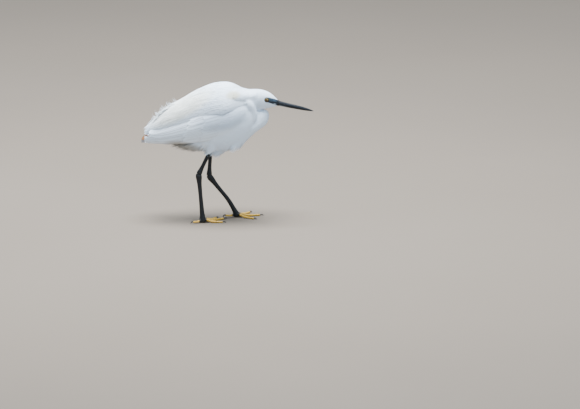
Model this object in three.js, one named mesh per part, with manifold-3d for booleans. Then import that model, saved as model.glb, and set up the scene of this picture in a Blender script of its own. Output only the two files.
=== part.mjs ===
// A little egret at life size, walking, with its neck folded and its wings shut.
// Millimetres: +X runs towards the bill, +Y to the bird's left and +Z up, with the floor at Z = 0.
import * as THREE from "three";
import Module from "manifold-3d";

const kernel = await Module();
kernel.setup();
const { Manifold } = kernel;

// Driving dimensions
const GAP = 0.3; // left between neighbouring pieces
const FEATHER = 0.9; // thickness of a feather's vane, with its soft barbs
const BILL_LENGTH = 82;
const BILL_DROOP = THREE.MathUtils.degToRad(13); // the bill points down by this much
const EYE = { x: 92.5, y: 12, z: 288.6, radius: 5.2 };
const TAIL_END = -197;
const NAPE = 72; // where the head meets the neck

const finishes = {
  white_feather: { color: 0xe9ecee, roughness: 0.85 },
  cream_plume: { color: 0xe8e5d8, roughness: 0.85 },
  lore_skin: { color: 0x52697a, roughness: 0.55 },
  bill_horn: { color: 0x16181b, roughness: 0.35 },
  leg_skin: { color: 0x141517, roughness: 0.5 },
  toe_skin: { color: 0xc4a545, roughness: 0.55 },
  claw_horn: { color: 0x1b1815, roughness: 0.4 },
  eye: { color: 0xd8b020, roughness: 0.1 },
};
const materials = Object.fromEntries(
  Object.entries(finishes).map(([name, look]) => [
    name,
    new THREE.MeshStandardMaterial({ ...look, metalness: 0, name }),
  ]),
);

// Shared geometry

const v = (x, y, z) => new THREE.Vector3(x, y, z);
const { lerp, clamp, degToRad } = THREE.MathUtils;

// A smooth value along one axis, through [place, value] knots, and level beyond the outer two.
function through(...knots) {
  const sorted = knots.sort((a, b) => a[0] - b[0]);
  const last = sorted.length - 1;
  const slope = (i) => {
    const before = sorted[Math.max(i - 1, 0)];
    const after = sorted[Math.min(i + 1, last)];
    return (after[1] - before[1]) / (after[0] - before[0]);
  };
  return (place) => {
    if (place <= sorted[0][0]) return sorted[0][1];
    if (place >= sorted[last][0]) return sorted[last][1];
    const i = sorted.findIndex((knot) => knot[0] > place) - 1;
    const [x0, v0] = sorted[i];
    const [x1, v1] = sorted[i + 1];
    const span = x1 - x0;
    const t = (place - x0) / span;
    const rise = t * t * (3 - 2 * t);
    const leave = t * (1 - t) * (1 - t) * slope(i) * span;
    const arrive = t * t * (t - 1) * slope(i + 1) * span;
    return v0 + (v1 - v0) * rise + leave + arrive;
  };
}

// A repeatable random number from -1 to 1 at each call, for the small differences between feathers.
function shuffler(seed) {
  let state = seed;
  return () => {
    state = (Math.imul(state, 1664525) + 1013904223) >>> 0;
    return (state / 2 ** 32) * 2 - 1;
  };
}

// A solid from points and triangles, turned right side out if need be.
function solidOf(points, triangles) {
  const vertProperties = new Float32Array(points.flatMap((p) => p.toArray()));
  const made = (list) => {
    const triVerts = new Uint32Array(list.flat());
    return new Manifold(new kernel.Mesh({ numProp: 3, vertProperties, triVerts }));
  };
  const solid = made(triangles);
  return solid.volume() < 0 ? made(triangles.map(([a, b, c]) => [a, c, b])) : solid;
}

// A closed solid through rings of equally many points. An end closes on its tip where it has one, or else is
// flat, filled from both halves of its ring. The far half of each ring is split the other way between rings, so
// that both faces of a thin sheet fold alike.
function loft(rings, startTip, endTip) {
  const sides = rings[0].length;
  const points = rings.flat();
  const lastRing = points.length - sides;
  const triangles = [];
  const close = (offset, tip, flip) => {
    const put = (a, b, c) => triangles.push(flip ? [a, c, b] : [a, b, c]);
    if (tip) {
      const apex = points.push(tip) - 1;
      for (let j = 0; j < sides; j++) put(offset + j, offset + ((j + 1) % sides), apex);
      return;
    }
    for (let low = 0, high = sides - 1; high - low > 1; low++, high--) {
      put(offset + low, offset + low + 1, offset + high);
      if (high - low > 2) put(offset + low + 1, offset + high - 1, offset + high);
    }
  };
  close(0, startTip, true);
  close(lastRing, endTip, false);
  for (let j = 0; j < sides; j++) {
    const k = (j + 1) % sides;
    for (let low = 0; low < lastRing; low += sides) {
      const high = low + sides;
      if (j < sides / 2) triangles.push([low + j, low + k, high + k], [low + j, high + k, high + j]);
      else triangles.push([low + j, low + k, high + j], [low + k, high + k, high + j]);
    }
  }
  return solidOf(points, triangles);
}

// The largest closed surface of a solid, so that no loose scrap or sealed hollow is kept.
function largest(solid) {
  return solid.decompose().reduce((best, next) => (next.volume() > best.volume() ? next : best));
}
const fuse = (...solids) => largest(Manifold.union(solids.flat()));
const without = (solid, ...cutters) => largest(Manifold.difference([solid, ...cutters.flat()]));

// A body lofted along X from its outlines, each section a rounded box, with sections closer at its ends.
function bodyAlongX({ rear, front, top, bottom, half, square = 2.2 }, steps, sides, grow = 0) {
  const rings = [];
  for (let i = 1; i < steps; i++) {
    const x = lerp(rear - grow, front + grow, (1 - Math.cos((i / steps) * Math.PI)) / 2);
    rings.push(sectionAcross({ top, bottom, half, square }, x, clamp(x, rear, front), sides, grow));
  }
  const tip = (x, end) => v(end, 0, (top(x) + bottom(x)) / 2);
  return loft(rings, tip(rear, rear - grow), tip(front, front + grow));
}
function sectionAcross({ top, bottom, half, square }, x, place, sides, grow) {
  const middle = (top(place) + bottom(place)) / 2;
  const tall = (top(place) - bottom(place)) / 2 + grow;
  const wide = half(place) + grow;
  const bulge = (value) => Math.sign(value) * Math.abs(value) ** (2 / square);
  return Array.from({ length: sides }, (_, i) => {
    const angle = (i / sides) * 2 * Math.PI;
    return v(x, wide * bulge(Math.cos(angle)), middle + tall * bulge(Math.sin(angle)));
  });
}

// A limb lofted along a path, with an oval section from radii(t) = [fore and aft, across]. It is flat where
// it would reach below the floor.
function limb(path, radii, steps, sides, grow = 0) {
  const curve = new THREE.CatmullRomCurve3(path);
  const rings = [];
  for (let i = 0; i <= steps; i++) {
    const centre = curve.getPoint(i / steps);
    const along = curve.getTangent(i / steps);
    const across = v(0, 1, 0).addScaledVector(along, -along.y).normalize();
    const fore = v(0, 0, 0).crossVectors(across, along);
    const [deep, wide] = radii(i / steps).map((radius) => radius + grow);
    const corner = (_, j) => {
      const angle = ((j + 0.5) / sides) * 2 * Math.PI;
      const out = fore.clone().multiplyScalar(deep * Math.cos(angle));
      out.addScaledVector(across, wide * Math.sin(angle)).add(centre);
      return out.setZ(Math.max(out.z, -grow));
    };
    rings.push(Array.from({ length: sides }, corner));
  }
  return loft(rings);
}

// A ball, or an egg where it is scaled.
function ball(centre, radius, sides, scale = v(1, 1, 1)) {
  const bands = Math.round(sides / 2);
  const at = (polar, around) => {
    return v(0, 0, 0).setFromSphericalCoords(radius, polar, around).multiply(scale).add(centre);
  };
  const rings = [];
  for (let i = 1; i < bands; i++) {
    const around = (_, j) => at((i / bands) * Math.PI, (j / sides) * 2 * Math.PI);
    rings.push(Array.from({ length: sides }, around));
  }
  return loft(rings, at(0, 0), at(Math.PI, 0));
}

// A sheet that follows a surface on(x, across, lift), between two edges and two lifts given along X.
function sheet(on, { front, rear, upper, lower, inner, outer }, steps, across) {
  const rings = [];
  for (let i = 0; i <= steps; i++) {
    const x = lerp(front, rear, i / steps);
    const row = (lift) => {
      const at = (_, j) => on(x, lerp(upper(x), lower(x), j / across), lift);
      return Array.from({ length: across + 1 }, at);
    };
    rings.push([...row(outer(x)), ...row(inner(x)).reverse()]);
  }
  return loft(rings);
}

// Feather outlines: the share of the full width at each share of the length, up to the tip
const ROUNDED = [[0, 0.7], [0.5, 1], [0.9, 0.68]];
const LOCK = [[0, 0.8], [0.45, 1], [0.8, 0.5]];

// One feather on a surface on(x, across, lift): a strip from its sunk root to its free tip, with its width in
// the units of across. It is twisted by tilt, so that one edge tucks under its neighbour, and it has a raised
// shaft unless it is flat. Rise gives its share of the lift at a share of its length.
const easyRise = (t) => t ** 0.8;
function feather(on, { from, to, width, lift, outline, rise = easyRise, tilt = 0, thick = FEATHER, flat }) {
  const rings = outline.map(([t, share]) => {
    const height = lerp(lift[0], lift[1], rise(t));
    const point = (side, up) => {
      const across = lerp(from[1], to[1], t) + (side * width * share) / 2;
      return on(lerp(from[0], to[0], t), across, height + side * tilt * share + up);
    };
    const edge = thick / 2;
    if (flat) return [point(-1, edge), point(1, edge), point(1, -edge), point(-1, -edge)];
    const shaft = edge * 1.5;
    const face = (sign) => [-1, 0, 1].map((side) => point(side, sign * (side === 0 ? shaft : edge)));
    return [...face(1), ...face(-1).reverse()];
  });
  return loft(rings, undefined, on(to[0], to[1], lift[1]));
}

// A tier of feathers side by side: roots and tips are each spread between two [x, across] ends. Cover is a
// feather's width as a share of the space between two, and round draws the outer tips back.
function tier(on, { count, roots, tips, cover, round = 0, vary = 0.03, seed, ...shape }) {
  const draw = shuffler(seed);
  const width = (Math.abs(roots[1][1] - roots[0][1]) / (count - 1)) * cover;
  return Array.from({ length: count }, (_, i) => {
    const share = i / (count - 1);
    const between = (ends) => [0, 1].map((k) => lerp(ends[0][k], ends[1][k], share));
    const from = between(roots);
    const to = between(tips);
    to[0] += (to[0] - from[0]) * vary * draw() + round * (2 * share - 1) ** 2;
    const outline = shape.outlineFor ? shape.outlineFor(from[0], to[0]) : shape.outline;
    return feather(on, { ...shape, from, to, width, outline });
  });
}

// Torso, under the feathers of the wings and back
const TORSO = {
  rear: -126,
  front: 68,
  top: through([-126, 226], [-108, 246], [-80, 272], [-45, 298], [-10, 312], [20, 310], [45, 292], [60, 272],
    [68, 254]),
  bottom: through([-126, 212], [-105, 198], [-80, 184], [-45, 168], [-10, 164], [20, 173], [42, 187],
    [58, 205], [68, 230]),
  half: through([-126, 5], [-108, 17], [-80, 29], [-45, 39], [-5, 44], [22, 43], [45, 35], [60, 25],
    [68, 12]),
};
const torsoBody = (grow) => bodyAlongX(TORSO, 14, 20, grow);

// A place on the torso: across is the angle from straight down, towards the left.
function onTorso(x, across, lift) {
  const middle = (TORSO.top(x) + TORSO.bottom(x)) / 2;
  const tall = (TORSO.top(x) - TORSO.bottom(x)) / 2 + lift;
  const angle = degToRad(across);
  return v(x, (TORSO.half(x) + lift) * Math.sin(angle), middle - tall * Math.cos(angle));
}

// The loose feathers of breast and belly hang in tiers, below the torso
const BREAST_TIERS = [
  { count: 4, roots: [[-78, -34], [-78, 34]], tips: [[-108, -24], [-108, 24]], lift: [-1.5, 8], seed: 4 },
  { count: 4, roots: [[-48, -30], [-48, 30]], tips: [[-80, -24], [-80, 24]], lift: [-1.5, 9], seed: 5 },
  { count: 5, roots: [[-4, -42], [-4, 42]], tips: [[-34, -36], [-34, 36]], lift: [-1.5, 8], seed: 6 },
  { count: 5, roots: [[20, -48], [20, 48]], tips: [[-10, -44], [-10, 44]], lift: [-1.5, 6], seed: 7 },
];
function breastFeathers() {
  const shape = { outline: LOCK, cover: 0.97, vary: 0.12, round: 6, flat: true };
  return BREAST_TIERS.flatMap((row) => tier(onTorso, { ...shape, ...row }));
}

// Flank: the surface that a shut wing lies on. Across is the angle above level, on the right side.
const FLANK = {
  level: through([55, 256], [30, 250], [0, 243], [-40, 236], [-80, 226], [-120, 215], [-160, 206],
    [-195, 200]),
  height: through([55, 34], [30, 48], [0, 57], [-40, 56], [-80, 48], [-120, 37], [-160, 25], [-195, 16]),
  width: through([55, 30], [30, 43], [0, 47.5], [-40, 45], [-80, 37.5], [-120, 28], [-160, 19],
    [-195, 13]),
};
function onFlank(x, across, lift) {
  const angle = degToRad(across);
  const out = (FLANK.width(x) + lift) * Math.cos(angle);
  return v(x, -out, FLANK.level(x) + (FLANK.height(x) + lift) * Math.sin(angle));
}

// Wing, right side; the left one is its mirror image. Its flesh ends where the flight feathers run on alone.
const WING = {
  front: 51,
  rear: -82,
  upper: through([51, 34], [30, 50], [-20, 52], [-82, 38]),
  lower: through([51, -14], [40, -26], [10, -34], [-30, -40], [-82, -40]),
  inner: -6,
  outer: through([51, -3], [44, 0], [-60, 0], [-82, -2]),
  clear: 4.2, // how far its feathers rise above the flank
};
const WING_TIERS = [
  { count: 9, roots: [[-50, 32], [-68, -40]], tips: [[-172, 26], [-190, -46]], cover: 1.3, lift: [-1.2, 1.1],
    tilt: -0.85, thick: 0.8, round: -3, seed: 11 },
  { count: 8, roots: [[-12, 31], [-26, -38]], tips: [[-92, 28], [-112, -42]], lift: [-1.2, 2.2], round: 6,
    seed: 12 },
  { count: 7, roots: [[18, 33], [8, -33]], tips: [[-44, 32], [-56, -38]], lift: [-1.2, 2.7], round: 5,
    flat: true, seed: 13 },
  { count: 7, roots: [[40, 31], [38, -22]], tips: [[-4, 33], [-10, -33]], lift: [-1.4, 3.1], round: 3,
    flat: true, seed: 14 },
];
function wing() {
  const flesh = sheet(onFlank, { ...WING, inner: () => WING.inner }, 8, 5);
  const feathers = WING_TIERS.flatMap((row) => tier(onFlank, { outline: ROUNDED, cover: 0.97, ...row }));
  return Manifold.union([flesh, ...feathers]);
}
// The room that a wing takes, with its feathers, for what lies under or over it.
function wingRoom(inner) {
  const grown = {
    front: WING.front + 2,
    rear: TAIL_END,
    upper: (x) => WING.upper(x) + 4,
    lower: (x) => WING.lower(x) - 14,
    inner: () => inner,
    outer: () => WING.clear + GAP,
  };
  return sheet(onFlank, grown, 10, 6);
}

// Mantle: the plumes of the back. Across runs from -1 at its right edge, over the ridge, to 1.
const MANTLE = {
  front: 40,
  rear: -72,
  top: through([52, 300], [36, 316], [21, 324], [5, 328.5], [-8, 328.5], [-27, 326], [-46, 320], [-76, 306],
    [-105, 288.5], [-134, 273], [-164, 247], [-178, 231], [-193, 219]),
  width: through([52, 37], [35, 44], [0, 54], [-40, 52], [-80, 44], [-120, 34.5], [-160, 24], [-193, 13]),
  edge: through([52, 48], [20, 64], [0, 71], [-60, 74], [-130, 80], [-193, 88]),
  inner: () => -15,
  outer: through([40, -6], [30, -1.2], [0, -1.5], [-30, -4], [-60, -6.5], [-72, -9]),
};
function onMantle(x, across, lift) {
  const angle = degToRad(across * MANTLE.edge(x));
  const level = FLANK.level(x);
  const height = MANTLE.top(x) - level + lift;
  return v(x, (MANTLE.width(x) + lift) * Math.sin(angle), level + height * Math.cos(angle));
}
const MANTLE_TIERS = [
  { x: -66, reach: 125, count: 8, lift: [-10, -1.2] },
  { x: -38, reach: 118, count: 7, lift: [-8, -1] },
  { x: -10, reach: 106, count: 8, lift: [-6, -0.8] },
  { x: 20, reach: 88, count: 7, lift: [-4, -0.5] },
];
// All the plumes bend at the same stations along the back, so that one lies flat on the next.
const STATION = 28;
const plumeWidth = through([0, 0.85], [0.5, 1], [0.86, 0.7]);
function plumeOutline(root, tip) {
  const shares = [0];
  for (let x = Math.floor(root / STATION) * STATION; x > tip; x -= STATION) {
    const t = (x - root) / (tip - root);
    if (t > 0.18 && t < 0.78) shares.push(t);
  }
  return [...shares, 0.86].map((t) => [t, plumeWidth(t)]);
}
function mantle() {
  const core = sheet(onMantle, { ...MANTLE, upper: () => -0.9, lower: () => 0.9 }, 5, 8);
  const shape = { outlineFor: plumeOutline, rise: (t) => t, cover: 0.98, thick: 0.6, flat: true, round: 5 };
  const plumes = MANTLE_TIERS.flatMap(({ x, reach, ...row }, i) => {
    const edge = 0.95 - 0.06 * (row.count % 2);
    const ends = (along) => [[along, -edge], [along, edge]];
    return tier(onMantle, { ...shape, ...row, roots: ends(x), tips: ends(x - reach), seed: 21 + i });
  });
  return Manifold.union([core, ...plumes, ...wisps()]);
}

// The loose plume tips that curl up off the lower back
const WISPS = { count: 8, first: -104, last: -150, length: 32, rise: 17 };
function wisps() {
  const draw = shuffler(31);
  return Array.from({ length: WISPS.count }, (_, i) => {
    const x = lerp(WISPS.first, WISPS.last, i / (WISPS.count - 1));
    const across = 0.35 * draw();
    const root = onMantle(x, across, -1.6);
    const length = WISPS.length * (1 + 0.25 * draw());
    const rise = WISPS.rise * (1 + 0.3 * draw());
    const slope = MANTLE.top(x - 20) - MANTLE.top(x);
    const drop = (slope / 20) * length;
    const at = (back, up) => v(-length * back, draw() * 1.5, drop * back + rise * up).add(root);
    const taper = through([0, 1.1], [0.5, 0.7], [1, 0.3]);
    return limb([root, at(0.4, 0.12), at(0.8, 0.55), at(1, 1)], (t) => [taper(t) * 0.7, taper(t)], 4, 3);
  });
}

// Tail: short feathers in a shallow roof, the middle ones on top
const TAIL = {
  top: through([-104, 216], [-150, 209], [TAIL_END, 203.5]),
  spread: through([-104, 5], [-150, 8], [TAIL_END, 9.5]),
  root: {
    rear: -152,
    front: -106,
    top: through([-152, 204], [-106, 215]),
    bottom: through([-152, 197], [-106, 201]),
  },
};
function onTail(x, across, lift) {
  const y = across * TAIL.spread(x);
  return v(x, y, TAIL.top(x) - Math.abs(across) ** 1.3 * 12 + lift);
}
function tail() {
  const root = bodyAlongX({ ...TAIL.root, half: () => 8 }, 6, 12);
  const pairs = Array.from({ length: 6 }, (_, i) => i / 5);
  const feathers = pairs.flatMap((out, i) => {
    return [-1, 1].map((side) => {
      const from = [-114, side * 0.5 * out];
      const to = [TAIL_END + 0.8 + 4 * (1 - out) * (i % 2) + 2 * out, side * (0.15 + 0.8 * out)];
      const lift = [-4 - i * 0.3, side * 0.25 - i * 0.5];
      const shape = { width: 0.75, outline: ROUNDED, tilt: -side * 0.5, thick: 0.7 };
      return feather(onTail, { from, to, lift, ...shape });
    });
  });
  return Manifold.union([root, ...feathers]);
}

// Neck and head, along the hind neck and the crown; the two part at the nape
const CREST = {
  top: through([20, 318], [36, 312.5], [50, 309.5], [65, 310.5], [80, 309.5], [90, 306.5], [98, 303],
    [106, 297], [112, 291], [118, 285], [122, 279]),
  bottom: through([20, 250], [36, 253], [50, 256], [66, 259.5], [80, 262], [90, 264.5], [98, 266],
    [106, 267.5], [112, 268.8], [118, 270.4], [122, 273]),
  half: through([20, 33], [36, 28.5], [50, 24], [66, 20], [80, 18.3], [90, 16.6], [98, 14.6], [106, 11.6],
    [112, 9], [118, 6.8], [122, 5]),
  square: 2.2,
};
function crest(stations, sides, grow = 0) {
  return loft(stations.map((x) => sectionAcross(CREST, x, x, sides, grow)));
}
const neckUpperBody = (grow) => crest([20 - grow, 36, 52, NAPE - GAP / 2 + grow], 20, grow);
const headBody = (grow) => crest([NAPE + GAP / 2 - grow, 84, 93, 100, 106, 111, 116, 120.5], 20, grow);

// The folded neck's lower bulge, in level sections
const BULGE = {
  low: 187,
  high: 261,
  fore: through([187, 43], [200, 57], [213, 72], [226, 90], [238, 97], [250, 98.5], [257, 97], [261, 92]),
  aft: through([187, -5], [213, 5], [238, 20], [250, 30], [261, 50]),
  half: through([187, 31], [213, 28], [238, 23], [250, 19.5], [261, 14]),
};
function neckLowerBody(grow) {
  const { low, high, fore, aft, half } = BULGE;
  const steps = 7;
  const sides = 18;
  const rings = Array.from({ length: steps + 1 }, (_, i) => {
    const z = lerp(low - grow, high + grow, i / steps);
    const middle = (fore(z) + aft(z)) / 2;
    const long = (fore(z) - aft(z)) / 2 + grow;
    return Array.from({ length: sides }, (_, j) => {
      const angle = (j / sides) * 2 * Math.PI;
      return v(middle + long * Math.cos(angle), (half(z) + grow) * Math.sin(angle), z);
    });
  });
  return loft(rings);
}
// Its longest feathers lie over the breast
function neckFeathers() {
  const shape = { outline: LOCK, cover: 0.97, lift: [1.6, 2.6], vary: 0.1, round: 6, flat: true, seed: 41 };
  return tier(onTorso, { ...shape, count: 6, roots: [[50, -42], [50, 42]], tips: [[16, -46], [16, 46]] });
}

// Face: the bare skin between eye and bill, with a lid round each eye
const FACE = {
  rear: 91,
  front: 123,
  top: through([91, 294], [100, 292], [112, 288.5], [123, 284.6]),
  bottom: through([91, 284.5], [100, 282.3], [112, 278], [123, 272]),
  half: through([91, 15.2], [98, 15], [106, 12.3], [112, 9.7], [118, 7.6], [123, 6.7]),
  square: 3,
};
const faceBody = (grow) => bodyAlongX(FACE, 7, 12, grow);
const LID = { out: 3.5, radius: 4.6, thick: 1.2 };
function lid(side, grow) {
  const sides = 12;
  const ring = (_, i) => {
    const around = (i / sides) * 2 * Math.PI;
    const spoke = v(Math.cos(around), 0, Math.sin(around));
    return [0, 1, 2, 3, 4].map((j) => {
      const angle = (j / 5) * 2 * Math.PI;
      const reach = LID.radius + (LID.thick + grow) * Math.cos(angle);
      return spoke.clone().multiplyScalar(reach).add(v(0, (LID.thick + grow) * Math.sin(angle) * 1.6, 0));
    });
  };
  const rings = Array.from({ length: sides }, ring);
  const centre = v(EYE.x, side * (EYE.y + LID.out), EYE.z);
  const points = rings.flat().map((p) => p.add(centre));
  const triangles = rings.flatMap((_, i) => {
    const low = i * 5;
    const high = ((i + 1) % sides) * 5;
    return [0, 1, 2, 3, 4].flatMap((j) => {
      const k = (j + 1) % 5;
      return [[low + j, low + k, high + k], [low + j, high + k, high + j]];
    });
  });
  return solidOf(points, triangles);
}
const eye = (side, grow) => ball(v(EYE.x, side * EYE.y, EYE.z), EYE.radius + grow, 12);

// Bill: two half-rounds that meet on the line of the mouth, each from a root sunk in the face to its tip
const BILL = {
  root: v(112, 0, 278.9),
  length: BILL_LENGTH + 8,
  rise: through([0, 6.4], [0.15, 5.7], [0.3, 5.1], [0.6, 4.9], [0.75, 4.2], [0.9, 2.4], [1, 0.6]),
  fall: through([0, 6], [0.15, 5.8], [0.3, 5.5], [0.5, 4.9], [0.75, 3.7], [0.9, 2.3], [1, 0.5]),
  half: through([0, 5.8], [0.2, 4.9], [0.45, 3.9], [0.7, 2.9], [0.9, 1.7], [1, 0.5]),
};
const inBill = (along, y, z) => v(along, y, z).applyAxisAngle(v(0, 1, 0), BILL_DROOP).add(BILL.root);
function mandible(sign, grow) {
  const steps = 8;
  const arc = 8;
  const depth = sign > 0 ? BILL.rise : BILL.fall;
  const rings = Array.from({ length: steps + 1 }, (_, i) => {
    const t = i / steps;
    const along = lerp(-grow, BILL.length + grow, t);
    return Array.from({ length: arc + 1 }, (_, j) => {
      const angle = (j / arc) * Math.PI;
      const height = GAP / 2 - grow + (depth(t) + 2 * grow) * Math.sin(angle);
      return inBill(along, (BILL.half(t) + grow) * Math.cos(angle), sign * height);
    });
  });
  return loft(rings);
}
// A nostril is a slit in the side of the upper half, near its root
function nostril(side) {
  const line = [inBill(16, side * 5.6, 2.4), inBill(20, side * 5.5, 2.3), inBill(24.5, side * 5.2, 2.1)];
  const taper = through([0, 0.35], [0.5, 0.7], [1, 0.35]);
  return limb(line, (t) => [taper(t), 1.5], 4, 6);
}

// Legs: the right one is behind and the left one ahead
const LEGS = {
  right: {
    side: -1,
    turn: 30, // degrees that the foot points to the left of straight ahead
    spread: { inner: 18, middle: 0, outer: -34, hind: 180 },
    hip: v(-30, -19, 192),
    knee: v(-34, -20, 176),
    thighEnd: v(-41, -19, 162),
    ankle: v(-64, -20, 113.5),
    bow: [],
    heel: v(-55, -23, 8),
  },
  left: {
    side: 1,
    turn: 10,
    spread: { inner: 38, middle: 0, outer: -38, hind: 180 },
    hip: v(-30, 19, 192),
    knee: v(-33, 20, 174),
    thighEnd: v(-39, 19, 158),
    ankle: v(-40.5, 20, 99.6),
    bow: [v(-19.8, 22.1, 72), v(3.5, 24.4, 41.5)],
    heel: v(22, 27, 8),
  },
};
const TOES = {
  inner: { length: 47, end: 2.2, claw: 7, thick: 2.8 },
  middle: { length: 56, end: 2.2, claw: 8, thick: 3 },
  outer: { length: 47, end: 2.2, claw: 7, thick: 2.8 },
  hind: { length: 26, end: 4.6, claw: 6, thick: 2.8 },
};
// The feathered part of the leg, with hanging locks round its lower end
function thigh(leg, grow) {
  const radii = through([0, 17], [0.5, 12.5], [1, 6]);
  const flesh = limb([leg.hip, leg.knee, leg.thighEnd], (t) => [radii(t), radii(t) * 0.8], 4, 10, grow);
  const on = (along, around, lift) => {
    const angle = degToRad(around);
    const reach = radii(0.5 + along / 2) * 0.95 + lift;
    const out = v(Math.cos(angle), 0.8 * Math.sin(angle), 0).multiplyScalar(reach);
    return leg.knee.clone().lerp(leg.thighEnd, along).add(out);
  };
  const locks = tier(on, {
    count: 6,
    roots: [[0.1, 0], [0.1, 300]],
    tips: [[1.12, 8], [1.12, 308]],
    cover: 0.9 + 0.06 * grow,
    thick: FEATHER + 2 * grow,
    outline: LOCK,
    lift: [-1.5, 1.5],
    vary: 0.08,
    flat: true,
    seed: 51,
  });
  return Manifold.union([flesh, ...locks]);
}
function shankBody(leg, grow) {
  const start = leg.thighEnd.clone().lerp(leg.knee, 0.4);
  const radii = through([0, 4.7], [0.6, 4.3], [0.8, 5.2], [1, 6.4]);
  return limb([start, leg.ankle], (t) => [radii(t), radii(t) * 0.85], 5, 10, grow);
}
function tarsusBody(leg, grow) {
  const path = [...leg.bow, leg.heel];
  const along = path[0].clone().sub(leg.ankle).normalize();
  const top = leg.ankle.clone().addScaledVector(along, -4);
  const fore = through([0, 5], [0.05, 7.6], [0.16, 6.6], [0.3, 5.1], [0.5, 4.6], [0.85, 5.3], [1, 6.7]);
  const across = through([0, 4], [0.05, 5.8], [0.16, 4.8], [0.3, 3.8], [0.5, 3.6], [0.85, 4.2], [1, 5.6]);
  const shaft = limb([top, ...path], (t) => [fore(t), across(t)], 9, 8, grow);
  const sole = limb([leg.heel.clone().setZ(9.5), leg.heel.clone().setZ(0)], () => [8, 6], 2, 8, grow);
  return fuse(shaft, sole);
}
// A place in line with one toe: reach is how far out from the heel.
function toeLine(leg, which) {
  const heading = degToRad(leg.turn - leg.side * leg.spread[which]);
  const out = v(Math.cos(heading), Math.sin(heading), 0);
  return (reach, z) => leg.heel.clone().setZ(z).addScaledVector(out, reach);
}
function toeBody(leg, which, grow) {
  const at = toeLine(leg, which);
  const toe = TOES[which];
  const half = lerp(3.4, toe.end, 0.5);
  const line = [at(2, 8.5), at(toe.length * 0.22, 6.4), at(toe.length * 0.5, half), at(toe.length, toe.end)];
  const pads = (t) => toe.thick * (1.08 - 0.25 * t + 0.14 * Math.cos(t * 6 * Math.PI));
  return limb(line, (t) => [pads(t), pads(t)], 8, 6, grow);
}
function clawBody(leg, which, grow) {
  const at = toeLine(leg, which);
  const toe = TOES[which];
  const end = toe.length + toe.claw;
  const line = [at(toe.length - 2.5, toe.end + 0.6), at(end - toe.claw * 0.5, toe.end + 1), at(end, 0.8)];
  const taper = through([0, 1.7], [0.4, 1.4], [0.8, 0.7], [1, 0.3]);
  return limb(line, (t) => [taper(t), taper(t) * 0.8], 4, 5, grow);
}

// Assembly: each piece is cut clear of the neighbours that it meets
const bird = new THREE.Group();
function add(name, slot, solid) {
  const { vertProperties, triVerts } = solid.getMesh();
  const geometry = new THREE.BufferGeometry();
  geometry.setAttribute("position", new THREE.BufferAttribute(new Float32Array(vertProperties), 3));
  geometry.setIndex(new THREE.BufferAttribute(new Uint32Array(triVerts), 1));
  const mesh = new THREE.Mesh(geometry, materials[slot]);
  mesh.name = name;
  bird.add(mesh);
}
const mirrored = (solid) => solid.mirror([0, 1, 0]);
const legs = Object.entries(LEGS);
const torsoCut = torsoBody(GAP);
const neckUpperCut = neckUpperBody(GAP);
const thighCuts = legs.flatMap(([, leg]) => [thigh(leg, GAP), shankBody(leg, GAP)]);
const neckLowerCut = neckLowerBody(GAP);
const looseBreast = Manifold.difference([Manifold.union(breastFeathers()), ...thighCuts, neckLowerCut]);
add("torso", "white_feather", fuse(torsoBody(0), looseBreast));

const wingRight = without(wing(), torsoCut);
const overWing = wingRoom(WING.inner - GAP);
const underWing = wingRoom(-1.4);
add("wing_right", "white_feather", wingRight);
add("wing_left", "white_feather", mirrored(wingRight));
const mantleSolid = without(mantle(), torsoCut, overWing, mirrored(overWing), neckUpperCut);
add("mantle", "cream_plume", mantleSolid);
add("tail", "white_feather", without(tail(), torsoCut, underWing, mirrored(underWing)));

const eyeCuts = [-1, 1].map((side) => eye(side, GAP));
const billCuts = [-1, 1].map((sign) => mandible(sign, GAP));
add("neck_upper", "white_feather", without(neckUpperBody(0), torsoCut, overWing, mirrored(overWing)));
const bulge = Manifold.union([neckLowerBody(0), ...neckFeathers()]);
const headCut = headBody(GAP);
const neckCuts = [torsoCut, overWing, mirrored(overWing), neckUpperCut, headCut];
add("neck_lower", "white_feather", without(bulge, neckCuts));
add("bill_upper", "bill_horn", without(mandible(1, 0), nostril(1), nostril(-1)));
add("bill_lower", "bill_horn", mandible(-1, 0));
const bareFace = (grow) => Manifold.union([faceBody(grow), lid(1, grow), lid(-1, grow)]);
add("face", "lore_skin", without(bareFace(0), eyeCuts, billCuts));
add("head", "white_feather", without(headBody(0), bareFace(GAP), torsoCut, eyeCuts, billCuts));
add("eye_right", "eye", eye(-1, 0));
add("eye_left", "eye", eye(1, 0));

for (const [name, leg] of legs) {
  const tarsusCut = tarsusBody(leg, GAP);
  const shankCut = shankBody(leg, GAP);
  add(`thigh_${name}`, "white_feather", without(thigh(leg, 0), torsoCut, shankCut));
  add(`shank_${name}`, "leg_skin", without(shankBody(leg, 0), tarsusCut, torsoCut));
  add(`tarsus_${name}`, "leg_skin", tarsusBody(leg, 0));
  for (const which of Object.keys(TOES)) {
    const neighbours = which === "middle" ? [] : [toeBody(leg, "middle", GAP)];
    const cuts = [tarsusCut, clawBody(leg, which, GAP), ...neighbours];
    add(`toe_${which}_${name}`, "toe_skin", without(toeBody(leg, which, 0), cuts));
    add(`claw_${which}_${name}`, "claw_horn", clawBody(leg, which, 0));
  }
}

// The bird stands on the origin: the middle of its box, at the floor
const box = new THREE.Box3().setFromObject(bird);
const middle = box.getCenter(v(0, 0, 0));
bird.position.set(-middle.x, -middle.y, -box.min.z);

export default bird;
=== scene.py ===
"""A little egret at life size, in mid-stride, with its neck folded and its wings shut.

Sizes are in millimetres in the bird's own frame: X towards the bill, Y to its left, Z up from the floor.
placed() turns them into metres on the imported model.
"""

import math

import bpy
import numpy as np
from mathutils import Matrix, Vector
from mathutils.bvhtree import BVHTree


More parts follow.
